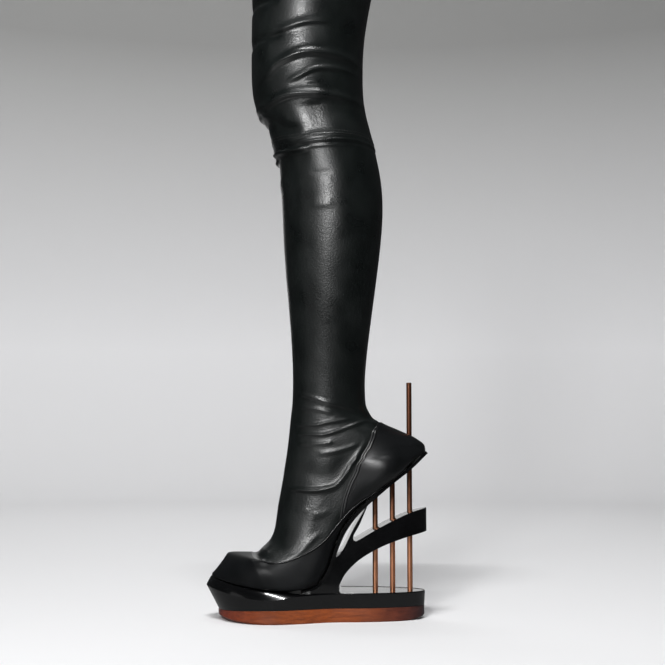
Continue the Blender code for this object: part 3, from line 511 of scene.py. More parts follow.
def smooth_rows(table, positions):
    """Rows of a table at fractional row numbers, without overshoot."""
    table = np.asarray(table, dtype=float)
    positions = np.atleast_1d(np.asarray(positions, dtype=float))
    steps = np.diff(table, axis=0)
    slopes = np.vstack([steps[:1], steps])
    same_way = steps[:-1] * steps[1:] > 0
    total = np.where(same_way, steps[:-1] + steps[1:], 1.0)
    slopes[1:-1] = np.where(same_way, 2 * steps[:-1] * steps[1:] / total, 0.0)
    low = np.clip(np.floor(positions).astype(int), 0, len(table) - 2)
    share = (positions - low)[:, None]
    return (
        (2 * share**3 - 3 * share**2 + 1) * table[low]
        + (share**3 - 2 * share**2 + share) * slopes[low]
        + (3 * share**2 - 2 * share**3) * table[low + 1]
        + (share**3 - share**2) * slopes[low + 1]
    )


def section_rows(positions):
    """Sections at fractional row numbers. Down the leg, neighbouring rows are averaged to an even line."""
    positions = np.atleast_1d(np.asarray(positions, dtype=float))
    offsets = np.linspace(-SMOOTHING_SPREAD, SMOOTHING_SPREAD, SMOOTHING_SAMPLES)
    weights = np.exp(-(offsets**2) / 2)
    weights /= weights.sum()
    drawn = smooth_rows(SECTIONS, positions)
    averaged = np.zeros_like(drawn)
    reach = np.minimum(LEG_SMOOTHING, positions / SMOOTHING_SPREAD)
    for offset, weight in zip(offsets, weights):
        averaged += weight * smooth_rows(SECTIONS, np.clip(positions + offset * reach, 0, LAST_ROW))
    as_drawn = smoothstep(LEG_SMOOTH_TO, LEG_AS_DRAWN_FROM, positions)[:, None]
    return as_drawn * drawn + (1 - as_drawn) * averaged


def sections_at(positions):
    """The columns of the sections at fractional row numbers, by their names."""
    return Section(*section_rows(positions).T)


def leg_surface(positions, angles, lift=0.0, back_lift=None):
    """A grid of points on the leg and foot, or this far out from it: one row of angles for each position.

    The angle runs from 0 at the front to pi at the back, and is below 0 on the outer side.
    """
    rows = Section(*(column[:, None] for column in sections_at(positions)))
    angles = np.broadcast_to(np.asarray(angles, dtype=float), (len(rows.front_x), np.shape(angles)[-1]))
    back_lift = lift if back_lift is None else back_lift
    run_x, run_z = rows.back_x - rows.front_x, rows.back_z - rows.front_z
    length = np.hypot(run_x, run_z)
    toward_front = np.cos(angles)
    ahead = toward_front > 0
    power = np.where(ahead, rows.front_power, rows.back_power)
    reach = np.where(ahead, -(rows.widest_at * length + lift), (1 - rows.widest_at) * length + back_lift)
    along = rows.widest_at * length + reach * np.abs(toward_front) ** (2 / power)
    across = (rows.half_width + lift) * np.abs(np.sin(angles)) ** (2 / power)
    share = along / length
    x = rows.front_x + share * run_x
    y = rows.centre_y + np.sign(angles) * across
    z = rows.front_z + share * run_z
    facet = FACET_HEIGHT + np.max(lift) - FACET_FALL * np.abs(y - rows.centre_y)
    over = FACET_SOFTNESS * np.logaddexp(0.0, (z - facet) / FACET_SOFTNESS)
    on_toe = smoothstep(FACET_FIRST_ROW, FACET_FULL_ROW, np.asarray(positions, dtype=float))[:, None]
    return np.stack([x, y, z - on_toe * over], axis=-1)


def angle_at_share(positions, shares):
    """The angle at which each section has gone this share of the way from front to back."""
    rows = sections_at(positions)
    shares = np.asarray(shares, dtype=float)
    ahead = np.clip((rows.widest_at - shares) / rows.widest_at, 0.0, 1.0) ** (rows.front_power / 2)
    past = np.clip((shares - rows.widest_at) / (1 - rows.widest_at), 0.0, 1.0) ** (rows.back_power / 2)
    return np.where(shares < rows.widest_at, np.arccos(ahead), np.arccos(-past))


def topline_angle(positions):
    """Angle of the shell's top edge. Ahead of the throat the two sides meet on the middle line."""
    angles = angle_at_share(positions, sections_at(positions).topline_at)
    return np.where(np.asarray(positions) < THROAT_ROW, angles, 0.0)


def counter_angle(positions):
    """Angle of the heel panel's slanting front edge."""
    return angle_at_share(positions, sections_at(positions).counter_at)


def counter_low_angle(positions):
    """Angle of the heel panel's lower edge: it meets itself behind the heel, then follows the shell."""
    positions = np.asarray(positions, dtype=float)
    tip_share = np.clip(positions - HEEL_TIP_ROW, 0.0, 1.0)
    at_heel = math.pi + tip_share * (FEATHER_ANGLE - math.pi)
    shares = sections_at(positions).topline_at - PANEL_TO_SHELL
    along_shell = np.minimum(FEATHER_ANGLE, angle_at_share(positions, shares))
    return np.where(positions < SHELL_FIRST_ROW, at_heel, along_shell)


def ring_positions():
    """Row numbers of the rings, spaced as the table of spacings asks."""
    search = np.arange(0.0, LAST_ROW + RING_SEARCH_STEP / 2, RING_SEARCH_STEP)
    rows = sections_at(search)
    front = np.hypot(np.diff(rows.front_x), np.diff(rows.front_z))
    back = np.hypot(np.diff(rows.back_x), np.diff(rows.back_z))
    spacing = np.interp(search[1:], *zip(*RING_SPACING))
    travelled = np.concatenate([[0.0], np.cumsum((front + back) / 2 / spacing)])
    return np.interp(np.linspace(0.0, travelled[-1], int(travelled[-1])), travelled, search)


# Folds and the knee seam


def fold_heights(x, z):
    """Height of all folds together at points in side view."""
    flat_x, flat_z = x.ravel(), z.ravel()
    total = np.zeros_like(flat_x)
    for fold in FOLDS:
        path = smooth_rows(fold.path, np.linspace(0, len(fold.path) - 1, FOLD_STEPS))
        reach = FOLD_REACH * max(fold.above, DIP_REACH * fold.below)
        near = (
            (flat_x > path[:, 0].min() - reach)
            & (flat_x < path[:, 0].max() + reach)
            & (flat_z > path[:, 1].min() - reach)
            & (flat_z < path[:, 1].max() + reach)
        )
        points = np.stack([flat_x[near], flat_z[near]], axis=-1)
        closest = np.full(len(points), np.inf)
        share = np.zeros(len(points))
        over = np.zeros(len(points))
        for step in range(FOLD_STEPS - 1):
            start, run = path[step], path[step + 1] - path[step]
            away = points - start
            along = np.clip(away @ run / (run @ run), 0.0, 1.0)
            distance = np.linalg.norm(away - along[:, None] * run, axis=1)
            nearer = distance < closest
            closest = np.where(nearer, distance, closest)
            share = np.where(nearer, (step + along) / (FOLD_STEPS - 1), share)
            over = np.where(nearer, run[0] * away[:, 1] - run[1] * away[:, 0], over)
        above = np.exp(-((closest / fold.above) ** 2))
        fall = np.exp(-((closest / fold.below) ** 2))
        dip = np.exp(-((closest / (DIP_REACH * fold.below)) ** 2))
        profile = np.where(over > 0, above, (1 + fold.dip) * fall - fold.dip * dip)
        fade = smoothstep(0.0, FOLD_FADE, np.minimum(share, 1 - share))
        total[near] += fold.height * fade * profile
    return total.reshape(x.shape)


def knee_seam_line(x):
    """Height of the knee seam's line along x."""
    return np.interp(x, *zip(*KNEE_SEAM))


def knee_seam_height(x, z):
    """How far the lapped knee seam stands out, with its rows of ridges."""
    offset = z - knee_seam_line(x)
    step_out = KNEE_LAP * smoothstep(KNEE_LAP_FROM, KNEE_LAP_TO, offset)
    height = step_out * np.exp(-np.maximum(offset, 0) / KNEE_LAP_FADE)
    strength = 1 - (1 - KNEE_RIDGES_LEAST) * smoothstep(KNEE_RIDGES_FADE_FROM, KNEE_RIDGES_FADE_TO, x)
    for middle, ridge, width in KNEE_RIDGES:
        height = height + strength * ridge * np.exp(-(((offset - middle) / width) ** 2))
    return height


def leather_height(points):
    """How far the creased leather stands off the plain form. The inner side's folds are a little shifted."""
    x, y, z = points[..., 0], points[..., 1], points[..., 2]
    outer = fold_heights(x, z)
    inner = INNER_SIDE_SHARE * fold_heights(x + INNER_SIDE_SHIFT[0], z + INNER_SIDE_SHIFT[1])
    side = smoothstep(-SIDE_BLEND, SIDE_BLEND, y)
    return (1 - side) * outer + side * inner + knee_seam_height(x, z)


# Meshes


def grid_normals(points):
    """Outward directions on a grid whose columns close on themselves."""
    down = np.gradient(points, axis=0)
    round_it = np.roll(points, -1, axis=1) - np.roll(points, 1, axis=1)
    normals = np.cross(round_it, down)
    normals /= np.maximum(np.linalg.norm(normals, axis=-1, keepdims=True), TINY_LENGTH)
    outwards = points - points.mean(axis=1, keepdims=True)
    facing = np.sign((normals * outwards).sum(axis=(1, 2), keepdims=True))
    return normals * facing


def ring_faces(start, rings, columns):
    """Faces between closed rings of points, which follow each other from a start."""
    faces = []
    for low in range(start, start + (rings - 1) * columns, columns):
        high = low + columns
        for column in range(columns):
            after = (column + 1) % columns
            faces.append((low + column, low + after, high + after, high + column))
    return faces


def sheet_faces(start, rows, columns):
    """Faces of an open grid of points, row by row from a start."""
    faces = []
    for row in range(rows - 1):
        for column in range(columns - 1):
            low = start + row * columns + column
            high = low + columns
            faces.append((low, low + 1, high + 1, high))
    return faces


def new_object(name, data):
    """An object in the scene with this data."""
    made = bpy.data.objects.new(name, data)
    bpy.context.scene.collection.objects.link(made)
    return made


def mesh_piece(name, points, faces, materials, material_of=None):
    """A mesh object from points in millimetres, with its faces turned outwards."""
    mesh = bpy.data.meshes.new(name)
    mesh.from_pydata(np.asarray(points, dtype=float) * MM, [], faces)
    for material in materials:
        mesh.materials.append(material)
    if material_of:
        mesh.polygons.foreach_set("material_index", material_of)
    work = bmesh.new()
    work.from_mesh(mesh)
    bmesh.ops.remove_doubles(work, verts=work.verts, dist=MERGE_DISTANCE)
    bmesh.ops.dissolve_degenerate(work, edges=work.edges, dist=MERGE_DISTANCE)
    bmesh.ops.recalc_face_normals(work, faces=work.faces)
    work.to_mesh(mesh)
    work.free()
    mesh.shade_smooth()
    return new_object(name, mesh)


def bake_modifiers(piece):
    """Turns a piece's modifiers into its mesh."""
    bpy.context.view_layer.update()
    shaped = bpy.data.meshes.new_from_object(piece.evaluated_get(bpy.context.evaluated_depsgraph_get()))
    piece.modifiers.clear()
    old = piece.data
    piece.data = shaped
    shaped.name = piece.name
    bpy.data.meshes.remove(old)
    return piece


def add_bevel(piece, width, angle):
    """Rounds the edges whose faces turn by more than an angle in degrees."""
    bevel = piece.modifiers.new("rounded edge", "BEVEL")
    bevel.width = width * MM
    bevel.segments = EDGE_SEGMENTS
    bevel.limit_method = "ANGLE"
    bevel.angle_limit = math.radians(angle)


def thicken(piece, thickness):
    """Gives a sheet its thickness, outwards, with rounded edges."""
    solidify = piece.modifiers.new("thickness", "SOLIDIFY")
    solidify.thickness = thickness * MM
    solidify.offset = 1.0
    solidify.use_even_offset = False
    add_bevel(piece, SHEET_ROUNDING * thickness, SHEET_EDGE_ANGLE)
    bake_modifiers(piece)
    piece.data.shade_smooth()
    return piece


def ease_edges(piece, width, angle):
    """Rounds the edges of a hard piece and keeps its flats flat."""
    add_bevel(piece, width, angle)
    flats = piece.modifiers.new("flat faces", "WEIGHTED_NORMAL")
    flats.keep_sharp = True
    piece.data.shade_smooth()
    return bake_modifiers(piece)


def cut(piece, tool, operation="DIFFERENCE"):
    """Cuts, joins or trims a piece with a tool, which is then gone."""
    boolean = piece.modifiers.new("cut", "BOOLEAN")
    boolean.operation = operation
    boolean.solver = "MANIFOLD"
    boolean.object = tool
    bake_modifiers(piece)
    bpy.data.objects.remove(tool, do_unlink=True)
    return piece


def cylinder(name, x, bottom, top, radius, sides, material=None):
    """An upright round bar on the middle line, capped at both ends."""
    work = bmesh.new()
    bmesh.ops.create_cone(
        work,
        cap_ends=True,
        segments=sides,
        radius1=radius,
        radius2=radius,
        depth=top - bottom,
    )
    bmesh.ops.translate(work, verts=work.verts, vec=(x, 0.0, (top + bottom) / 2))
    bmesh.ops.scale(work, verts=work.verts, vec=(MM, MM, MM))
    mesh = bpy.data.meshes.new(name)
    work.to_mesh(mesh)
    work.free()
    if material:
        mesh.materials.append(material)
    return new_object(name, mesh)


def rod_hole():
    """The room that the rear rod takes up in what it passes through."""
    radius = ROD_DIAMETER / 2 + GAP
    return cylinder("rod_hole", ROD_PLACES["rod_rear"], ROD_HOLE_BOTTOM, ROD_HOLE_TOP, radius, ROD_SIDES)


# Pieces of leather


def even_angles(positions, columns):
    """Angles that divide each ring into equal steps, from the back round to the back again."""
    turns = np.linspace(-np.pi, np.pi, RING_STEPS + 1)
    steps = np.linalg.norm(np.diff(leg_surface(positions, turns), axis=1), axis=-1)
    marks = np.arange(columns) / columns
    angles = []
    for ring in steps:
        travelled = np.concatenate([[0.0], np.cumsum(ring)])
        angles.append(np.interp(marks * travelled[-1], travelled, turns))
    return np.array(angles)


def covered_share(positions, angles):
    """Where the shell or the heel panel lies over the leg: 1 there, and 0 a little before their edges."""
    turn = np.abs(angles)
    edges = np.full(len(positions), 2 * np.pi)
    in_panel = (positions >= HEEL_TOP_ROW) & (positions <= COUNTER_LAST_ROW)
    edges[in_panel] = counter_angle(positions[in_panel])
    in_shell = positions >= COUNTER_LAST_ROW
    edges[in_shell] = topline_angle(positions[in_shell])
    return smoothstep(-COVER_FADE, -COVER_FULL, turn - edges[:, None])


def make_leg(leather, lining):
    """The boot's creased leg and foot with their lining and collar, as one closed skin."""
    positions = ring_positions()
    angles = even_angles(positions, LEATHER_COLUMNS)
    plain = leg_surface(positions, angles)
    height = leather_height(plain) * (1 - covered_share(positions, angles))
    outer = plain + grid_normals(plain) * height[..., None]
    outer[-1] = outer[-1].mean(axis=0)

    lining_positions = np.linspace(0.0, LAST_HOLLOW_ROW, LINING_RINGS)
    lining_angles = even_angles(lining_positions, LINING_COLUMNS)
    depths = np.interp(lining_positions, *zip(*LINING_DEPTHS))[:, None]
    inner = leg_surface(lining_positions, lining_angles, -depths)
    inner[-1] = inner[-1].mean(axis=0)

    points = np.concatenate([outer.reshape(-1, 3), inner.reshape(-1, 3)])
    start = len(positions) * LEATHER_COLUMNS
    skin = ring_faces(0, len(positions), LEATHER_COLUMNS)
    inside = [tuple(reversed(face)) for face in ring_faces(start, LINING_RINGS, LINING_COLUMNS)]
    # The collar joins two columns of leather to each column of lining
    collar = []
    for column in range(LINING_COLUMNS):
        after = (column + 1) % LINING_COLUMNS
        collar.append((2 * column, start + column, start + after, 2 * after, 2 * column + 1))
    faces = skin + inside + collar
    material_of = [0] * len(skin) + [1] * len(inside) + [0] * len(collar)
    leg = mesh_piece("stretch_leg", points, faces, [leather, lining], material_of)
    cut(leg, rod_hole())
    leg.data.shade_smooth()
    return leg


def on_overlay(positions, angles, lift):
    """Points on the sheets laid over the foot, or this far out from their undersides."""
    back_lift = np.where(np.asarray(positions) <= HEEL_TIP_ROW, OVERLAY_GAP, GAP)[:, None] + lift
    return leg_surface(positions, angles, OVERLAY_GAP + lift, back_lift)


def laid_sheet(name, positions, free, meeting, shares, material, relief=None):
    """A sheet laid over both sides of the foot, from a free edge to a meeting edge on each side.

    The relief is a function of the points, and of their distances from the free edge.
    """
    rows, columns = len(positions), len(shares)
    angles = free[:, None] + (meeting - free)[:, None] * shares[None, :]
    middle = sections_at(positions).centre_y
    on_middle = np.abs(np.sin(meeting)) < TINY_ANGLE
    sides = []
    for side in (-1, 1):
        points = on_overlay(positions, side * angles, 0.0)
        if relief:
            outwards = on_overlay(positions, side * angles, 1.0) - points
            steps = np.linalg.norm(np.diff(points, axis=1), axis=-1)
            from_free = np.concatenate([np.zeros((rows, 1)), np.cumsum(steps, axis=1)], axis=1)
            points = points + outwards * relief(points, from_free)[..., None]
        points[on_middle, -1, 1] = middle[on_middle]
        sides.append(points)
    faces = sheet_faces(0, rows, columns) + sheet_faces(rows * columns, rows, columns)
    return mesh_piece(name, np.concatenate(sides).reshape(-1, 3), faces, [material])


def make_toe_shell(leather):
    """The court-shoe shell with its chiselled toe box, and a low edge on either side behind the throat."""
    to_throat = np.linspace(SHELL_FIRST_ROW, THROAT_ROW, SHELL_ROWS_TO_THROAT)
    over_toe = np.linspace(THROAT_ROW, LAST_ROW, SHELL_ROWS_OVER_TOE)
    positions = np.concatenate([to_throat, over_toe[1:]])
    feather = np.full(len(positions), FEATHER_ANGLE)
    to_edge = np.linspace(0.0, SHELL_EDGE_SHARE, SHELL_COLUMNS)
    edge = np.linspace(SHELL_EDGE_SHARE, 1.0, SHELL_EDGE_COLUMNS)
    shares = np.concatenate([to_edge, edge[1:]])
    shell = laid_sheet("toe_shell", positions, feather, topline_angle(positions), shares, leather)
    return thicken(shell, SHELL_THICKNESS)


def heel_relief(points, from_seam):
    """Height of the two raised seam lines, and of the swell low on the heel."""
    lines = [np.exp(-(((from_seam - middle) / SEAM_LINE_WIDTH) ** 2)) for middle in SEAM_LINES]
    along = (points[..., 0] - HEEL_SWELL_PLACE[0]) / HEEL_SWELL_WIDTHS[0]
    above = (points[..., 2] - HEEL_SWELL_PLACE[1]) / HEEL_SWELL_WIDTHS[1]
    return SEAM_LINE_HEIGHT * sum(lines) + HEEL_SWELL * np.exp(-(along**2) - above**2)


def make_heel_panel(leather):
    """The smooth panel round the heel, behind its slanting seam."""
    positions = np.linspace(HEEL_TOP_ROW, COUNTER_LAST_ROW, PANEL_ROWS)
    seam = np.linspace(0.0, PANEL_SEAM_SHARE, PANEL_SEAM_COLUMNS)
    behind_seam = np.linspace(PANEL_SEAM_SHARE, 1.0, PANEL_COLUMNS)
    shares = np.concatenate([seam, behind_seam[1:]])
    front, low = counter_angle(positions), counter_low_angle(positions)
    panel = laid_sheet("heel_panel", positions, front, low, shares, leather, heel_relief)
    thicken(panel, COUNTER_THICKNESS)
    cut(panel, rod_hole())
    panel.data.shade_smooth()
    return panel


# Hard pieces of the sole unit


def sole_line(positions, below=0.0):
    """Points on the middle line under the foot, or this far below it, square to the line."""
    positions = np.atleast_1d(positions)
    here = sections_at(positions)
    ahead = sections_at(np.minimum(positions + SOLE_LINE_STEP, LAST_ROW))
    behind = sections_at(positions - SOLE_LINE_STEP)
    run_x, run_z = ahead.back_x - behind.back_x, ahead.back_z - behind.back_z
    length = np.hypot(run_x, run_z)
    return np.stack([here.back_x - below * run_z / length, here.back_z + below * run_x / length], axis=-1)


def shank_thickness(positions):
    """Thickness of the shank: thin at the heel tip, full at the waist, thin again at the ball."""
    waist_row = HEEL_TIP_ROW + SHANK_FULL_SHARE * (SHANK_LAST_ROW - HEEL_TIP_ROW)
    rows = (HEEL_TIP_ROW, waist_row, SHANK_LAST_ROW)
    return np.interp(positions, rows, (SHANK_HEEL_THICKNESS, SHANK_WAIST_THICKNESS, SHANK_TOE_THICKNESS))


def half_width_at(outline, x, outer):
    """Half width of a plan outline: almond toe, waisted middle and long elliptical heel."""
    ball = outline.ball_outer if outer else outline.ball_inner
    waist = outline.waist_outer if outer else outline.waist_inner
    toe_share = np.clip((BALL_X - x) / (BALL_X - outline.toe_x), 0.0, 1.0)
    at_toe = ball * (1 - toe_share**outline.toe_power) ** (1 / outline.toe_power)
    turn = np.pi * np.clip((x - BALL_X) / (WAIST_X - BALL_X), 0.0, 1.0)
    at_waist = waist + (ball - waist) * (1 + np.cos(turn)) / 2
    heel_share = np.clip((x - WAIST_X) / (outline.heel_x - WAIST_X), 0.0, 1.0)
    at_heel = waist * np.sqrt(1 - heel_share**2)
    return np.where(x <= BALL_X, at_toe, np.where(x <= WAIST_X, at_waist, at_heel))


def centre_y_at(x):
    """The toe bends to the inner side of the foot."""
    return TOE_BEND * (np.maximum(BALL_X - x, 0.0) / (BALL_X - ARRIS_OUTLINE.toe_x)) ** TOE_BEND_POWER


def smooth_height(heights, x):
    """Height along the boot, on a smooth curve through a table of heights."""
    knots = [row[0] for row in heights]
    return smooth_rows([[row[1]] for row in heights], np.interp(x, knots, range(len(knots))))[:, 0]


def outline_loop(outline, height, stations):
    """One closed loop round the sole unit: toe tip, outer side, heel end, inner side."""
    turns = np.pi * np.arange(stations + 1) / stations
    x = outline.toe_x + (outline.heel_x - outline.toe_x) * (1 - np.cos(turns)) / 2
    outer = np.stack([x, centre_y_at(x) - half_width_at(outline, x, True), height(x)], axis=-1)
    inner = np.stack([x, centre_y_at(x) + half_width_at(outline, x, False), height(x)], axis=-1)
    return np.concatenate([outer, inner[-2:0:-1]])


def loft(name, loops, material):
    """A solid through closed loops of equal length, with strips across its two ends."""
    count = len(loops[0])
    faces = ring_faces(0, len(loops), count)
    for start in (0, (len(loops) - 1) * count):
        for k in range(count // 2):
            strip = (start + k, start + k + 1, start + count - 1 - k, start + (count - k) % count)
            faces.append(tuple(dict.fromkeys(strip)))
    return mesh_piece(name, np.concatenate(loops), [face for face in faces if len(face) > 2], [material])


def tread_height(x):
    """Height of the tread: flat, with a toe spring and an eased heel."""
    ahead = np.maximum(OUTSOLE_FLAT_FROM - x, 0.0) / (OUTSOLE_FLAT_FROM - SOLE_PLATE_OUTLINE.toe_x)
    behind = np.maximum(x - OUTSOLE_FLAT_TO, 0.0) / (SOLE_PLATE_OUTLINE.heel_x - OUTSOLE_FLAT_TO)
    return TOE_SPRING * ahead**TOE_SPRING_POWER + HEEL_SPRING * behind**HEEL_SPRING_POWER


def plate_top_height(x):
    """Height of the sole plate's top, which dips a little towards the toe."""
    ahead = np.maximum(BALL_X - x, 0.0) / (BALL_X - SOLE_PLATE_OUTLINE.toe_x)
    return OUTSOLE_THICKNESS - OUTSOLE_TOE_DROP * ahead**TOE_DROP_POWER


def make_sole_plate(wood):
    """The wooden sole plate, with a small bevel round the tread."""
    loops = [
        outline_loop(TREAD_OUTLINE, tread_height, SOLE_STATIONS),
        outline_loop(SOLE_PLATE_OUTLINE, lambda x: tread_height(x) + OUTSOLE_BEVEL, SOLE_STATIONS),
        outline_loop(SOLE_PLATE_OUTLINE, plate_top_height, SOLE_STATIONS),
    ]
    return ease_edges(loft("sole_plate", loops, wood), *SOLE_EDGE)


def smooth_curve(points, steps):
    """Points along a smooth curve through a few given points."""
    return smooth_rows(points, np.linspace(0, len(points) - 1, steps + 1))


def neck_profile():
    """Side outline of the neck with its two branches: the arm, and the tine that carries the shank."""
    corner_x, corner_z = NECK_FOOT_BACK, SLAB_TOP - NECK_SINK
    turns = np.radians(np.linspace(*NECK_FILLET_ANGLES, FILLET_STEPS))
    fillet_x = corner_x + NECK_FOOT_FILLET * (1 - np.cos(turns))
    fillet_z = corner_z + NECK_FOOT_FILLET * (1 - np.sin(turns))
    rows = np.linspace(HEEL_SEAT_ROW, NECK_LAST_ROW, NECK_ROWS)
    under_shank = sole_line(rows, 2 * GAP + shank_thickness(rows))
    under_shank = under_shank[under_shank[:, 1] < SLOT_EDGE[-1][1]]
    return np.concatenate([
        [(NECK_FOOT_FRONT, NECK_ROOT_Z), (corner_x + NECK_FOOT_FILLET, NECK_ROOT_Z)],
        np.stack([fillet_x, fillet_z], axis=-1),
        smooth_curve(ARM_UNDERSIDE, ARM_UNDERSIDE_STEPS),
        smooth_curve(ARM_TOP, ARM_TOP_STEPS),
        smooth_curve(FORK_CROTCH + TINE_EDGE, FORK_STEPS),
        smooth_curve(SLOT_EDGE, SLOT_STEPS),
        under_shank,
    ])


def prism(name, outline, to_point, low, high, material):
    """A straight prism over a flat outline."""
    count = len(outline)
    points = [to_point(a, b, low) for a, b in outline] + [to_point(a, b, high) for a, b in outline]
    faces = [tuple(range(count)), tuple(reversed(range(count, 2 * count)))]
    faces += [(k, (k + 1) % count, count + (k + 1) % count, count + k) for k in range(count)]
    return mesh_piece(name, points, faces, [material])


def make_platform(lacquer):
    """The carved block: a slab with a sharp edge and prow, joined to the forked neck."""
    foot = outline_loop(SOLE_PLATE_OUTLINE, lambda x: plate_top_height(x) + GAP, SLAB_STATIONS)
    arris = outline_loop(ARRIS_OUTLINE, lambda x: smooth_height(ARRIS_HEIGHTS, x), SLAB_STATIONS)
    feather = outline_loop(FEATHER_OUTLINE, lambda x: smooth_height(FOOTBED_HEIGHTS, x), SLAB_STATIONS)
    loops = [foot, arris]
    for share in np.linspace(0.0, 1.0, BEVEL_LOOPS)[1:]:
        crown = BEVEL_CROWN * 4 * share * (1 - share)
        loops.append((1 - share) * arris + share * feather + np.array([0.0, 0.0, crown]))
    block = loft("platform_block", loops, lacquer)
    neck = prism("neck", neck_profile(), lambda x, z, y: (x, y, z), -NECK_REACH, NECK_REACH, lacquer)
    outline = outline_loop(NECK_OUTLINE, lambda x: 0 * x, SLAB_STATIONS)[:, :2]
    plan = prism("plan", outline, lambda x, y, z: (x, y, z), 0.0, NECK_PLAN_HEIGHT, lacquer)
    cut(neck, plan, "INTERSECT")
    cut(block, neck, "UNION")
    bottom, radius = SLAB_TOP - ROD_SOCKET_DEPTH, ROD_DIAMETER / 2 + GAP
    for x in ROD_PLACES.values():
        cut(block, cylinder("socket", x, bottom, ARM_CUT_TOP, radius, SOCKET_SIDES, lacquer))
    return ease_edges(block, *SLAB_EDGE)


def shank_faces(rows, columns):
    """Faces of the shank: a sheet of points above, one below, and walls round their rim."""
    below = rows * columns
    top = sheet_faces(0, rows, columns)
    bottom = [tuple(below + corner for corner in reversed(cell)) for cell in top]
    outer_side = [row * columns for row in range(rows)]
    ball_end = [(rows - 1) * columns + column for column in range(1, columns)]
    inner_side = [(row + 1) * columns - 1 for row in reversed(range(rows - 1))]
    heel_end = list(reversed(range(1, columns - 1)))
    rim = outer_side + ball_end + inner_side + heel_end
    walls = [(a, b, below + b, below + a) for a, b in zip(rim, rim[1:] + rim[:1])]
    return top + bottom + walls


def make_shank(lacquer):
    """The thin sole under the arch. From the heel seat to its tip it runs straight on."""
    seat, near = sole_line([HEEL_SEAT_ROW, HEEL_SEAT_ROW + 1])
    rise = (seat - near) / np.linalg.norm(seat - near)
    across = np.array([rise[1], -rise[0]])
    rows = np.linspace(HEEL_SEAT_ROW, SHANK_LAST_ROW, SHANK_ROWS)
    tip = np.array([seat + reach * rise for reach in SHANK_TIP_REACHES])
    tip_low = tip + (GAP + SHANK_HEEL_THICKNESS) * across
    tops = np.concatenate([tip + GAP * across, sole_line(rows, GAP)])
    lows = np.concatenate([tip_low, sole_line(rows, GAP + shank_thickness(rows))])
    middle_x = np.concatenate([tip[:, 0], sole_line(rows)[:, 0]])
    outer_y = -np.maximum(half_width_at(SHANK_OUTLINE, middle_x, True), SHANK_TIP_HALF_WIDTH)
    inner_y = np.maximum(half_width_at(SHANK_OUTLINE, middle_x, False), SHANK_TIP_HALF_WIDTH)
    y = outer_y[:, None] + (inner_y - outer_y)[:, None] * np.linspace(0.0, 1.0, SHANK_COLUMNS)
    sheets = []
    for line in (tops, lows):
        x = np.repeat(line[:, :1], SHANK_COLUMNS, axis=1)
        z = np.repeat(line[:, 1:], SHANK_COLUMNS, axis=1)
        sheets.append(np.stack([x, y, z], axis=-1).reshape(-1, 3))
    faces = shank_faces(len(tops), SHANK_COLUMNS)
    shank = mesh_piece("shank_plate", np.concatenate(sheets), faces, [lacquer])
    cut(shank, rod_hole())
    return ease_edges(shank, *FINE_EDGE)


def make_rods(copper):
    """The three copper rods, by the node that each stands for. The two short ones end under the shank."""
    rows = np.linspace(SHANK_LAST_ROW, HEEL_SEAT_ROW, ROD_END_STEPS)
    underside = sole_line(rows, GAP + shank_thickness(rows))
    bottom = SLAB_TOP - ROD_SOCKET_DEPTH + GAP
    rods = {}
    for node, x in ROD_PLACES.items():
        rod = cylinder(f"copper_{node}", x, bottom, ROD_TOP, ROD_DIAMETER / 2, ROD_SIDES, copper)
        if node != "rod_rear":
            for vertex in rod.data.vertices:
                if vertex.co.z / MM > SLAB_TOP:
                    vertex.co.z = (np.interp(vertex.co.x / MM, *underside.T) - GAP) * MM
        rods[node] = ease_edges(rod, *FINE_EDGE)
    return rods


# Stitches and piping, made by nodes along paths


def add_node(tree, kind, values=None, **settings):
    """A node with its settings. Its inputs are given as values, or as sockets to link from."""
    made = tree.nodes.new(kind)
    for key, value in settings.items():
        setattr(made, key, value)
    for key, value in (values or {}).items():
        if isinstance(value, bpy.types.NodeSocket):
            tree.links.new(value, made.inputs[key])
        else:
            made.inputs[key].default_value = value
    return made


def path_tree(name, sizes):
    """A node tree for what follows a path: the tree, its named inputs, and the path as a curve."""
    tree = bpy.data.node_groups.new(name, "GeometryNodeTree")
    tree.is_modifier = True
    tree.interface.new_socket("Path", in_out="INPUT", socket_type="NodeSocketGeometry")
    for size in sizes:
        tree.interface.new_socket(size, in_out="INPUT", socket_type="NodeSocketFloat")
    tree.interface.new_socket("Material", in_out="INPUT", socket_type="NodeSocketMaterial")
    tree.interface.new_socket("Piece", in_out="OUTPUT", socket_type="NodeSocketGeometry")
    given = tree.nodes.new("NodeGroupInput").outputs
    line = add_node(tree, "GeometryNodeMeshToCurve", {"Mesh": given["Path"]})
    return tree, given, line.outputs["Curve"]


def end_path_tree(tree, given, shape):
    """Ends a node tree: its shape is made smooth and real, and takes the given material."""
    smooth = add_node(tree, "GeometryNodeSetShadeSmooth", {"Geometry": shape}).outputs["Geometry"]
    real = add_node(tree, "GeometryNodeRealizeInstances", {"Geometry": smooth}).outputs["Geometry"]
    finished = add_node(tree, "GeometryNodeSetMaterial", {"Geometry": real, "Material": given["Material"]})
    result = tree.nodes.new("NodeGroupOutput")
    tree.links.new(finished.outputs["Geometry"], result.inputs["Piece"])
    return tree


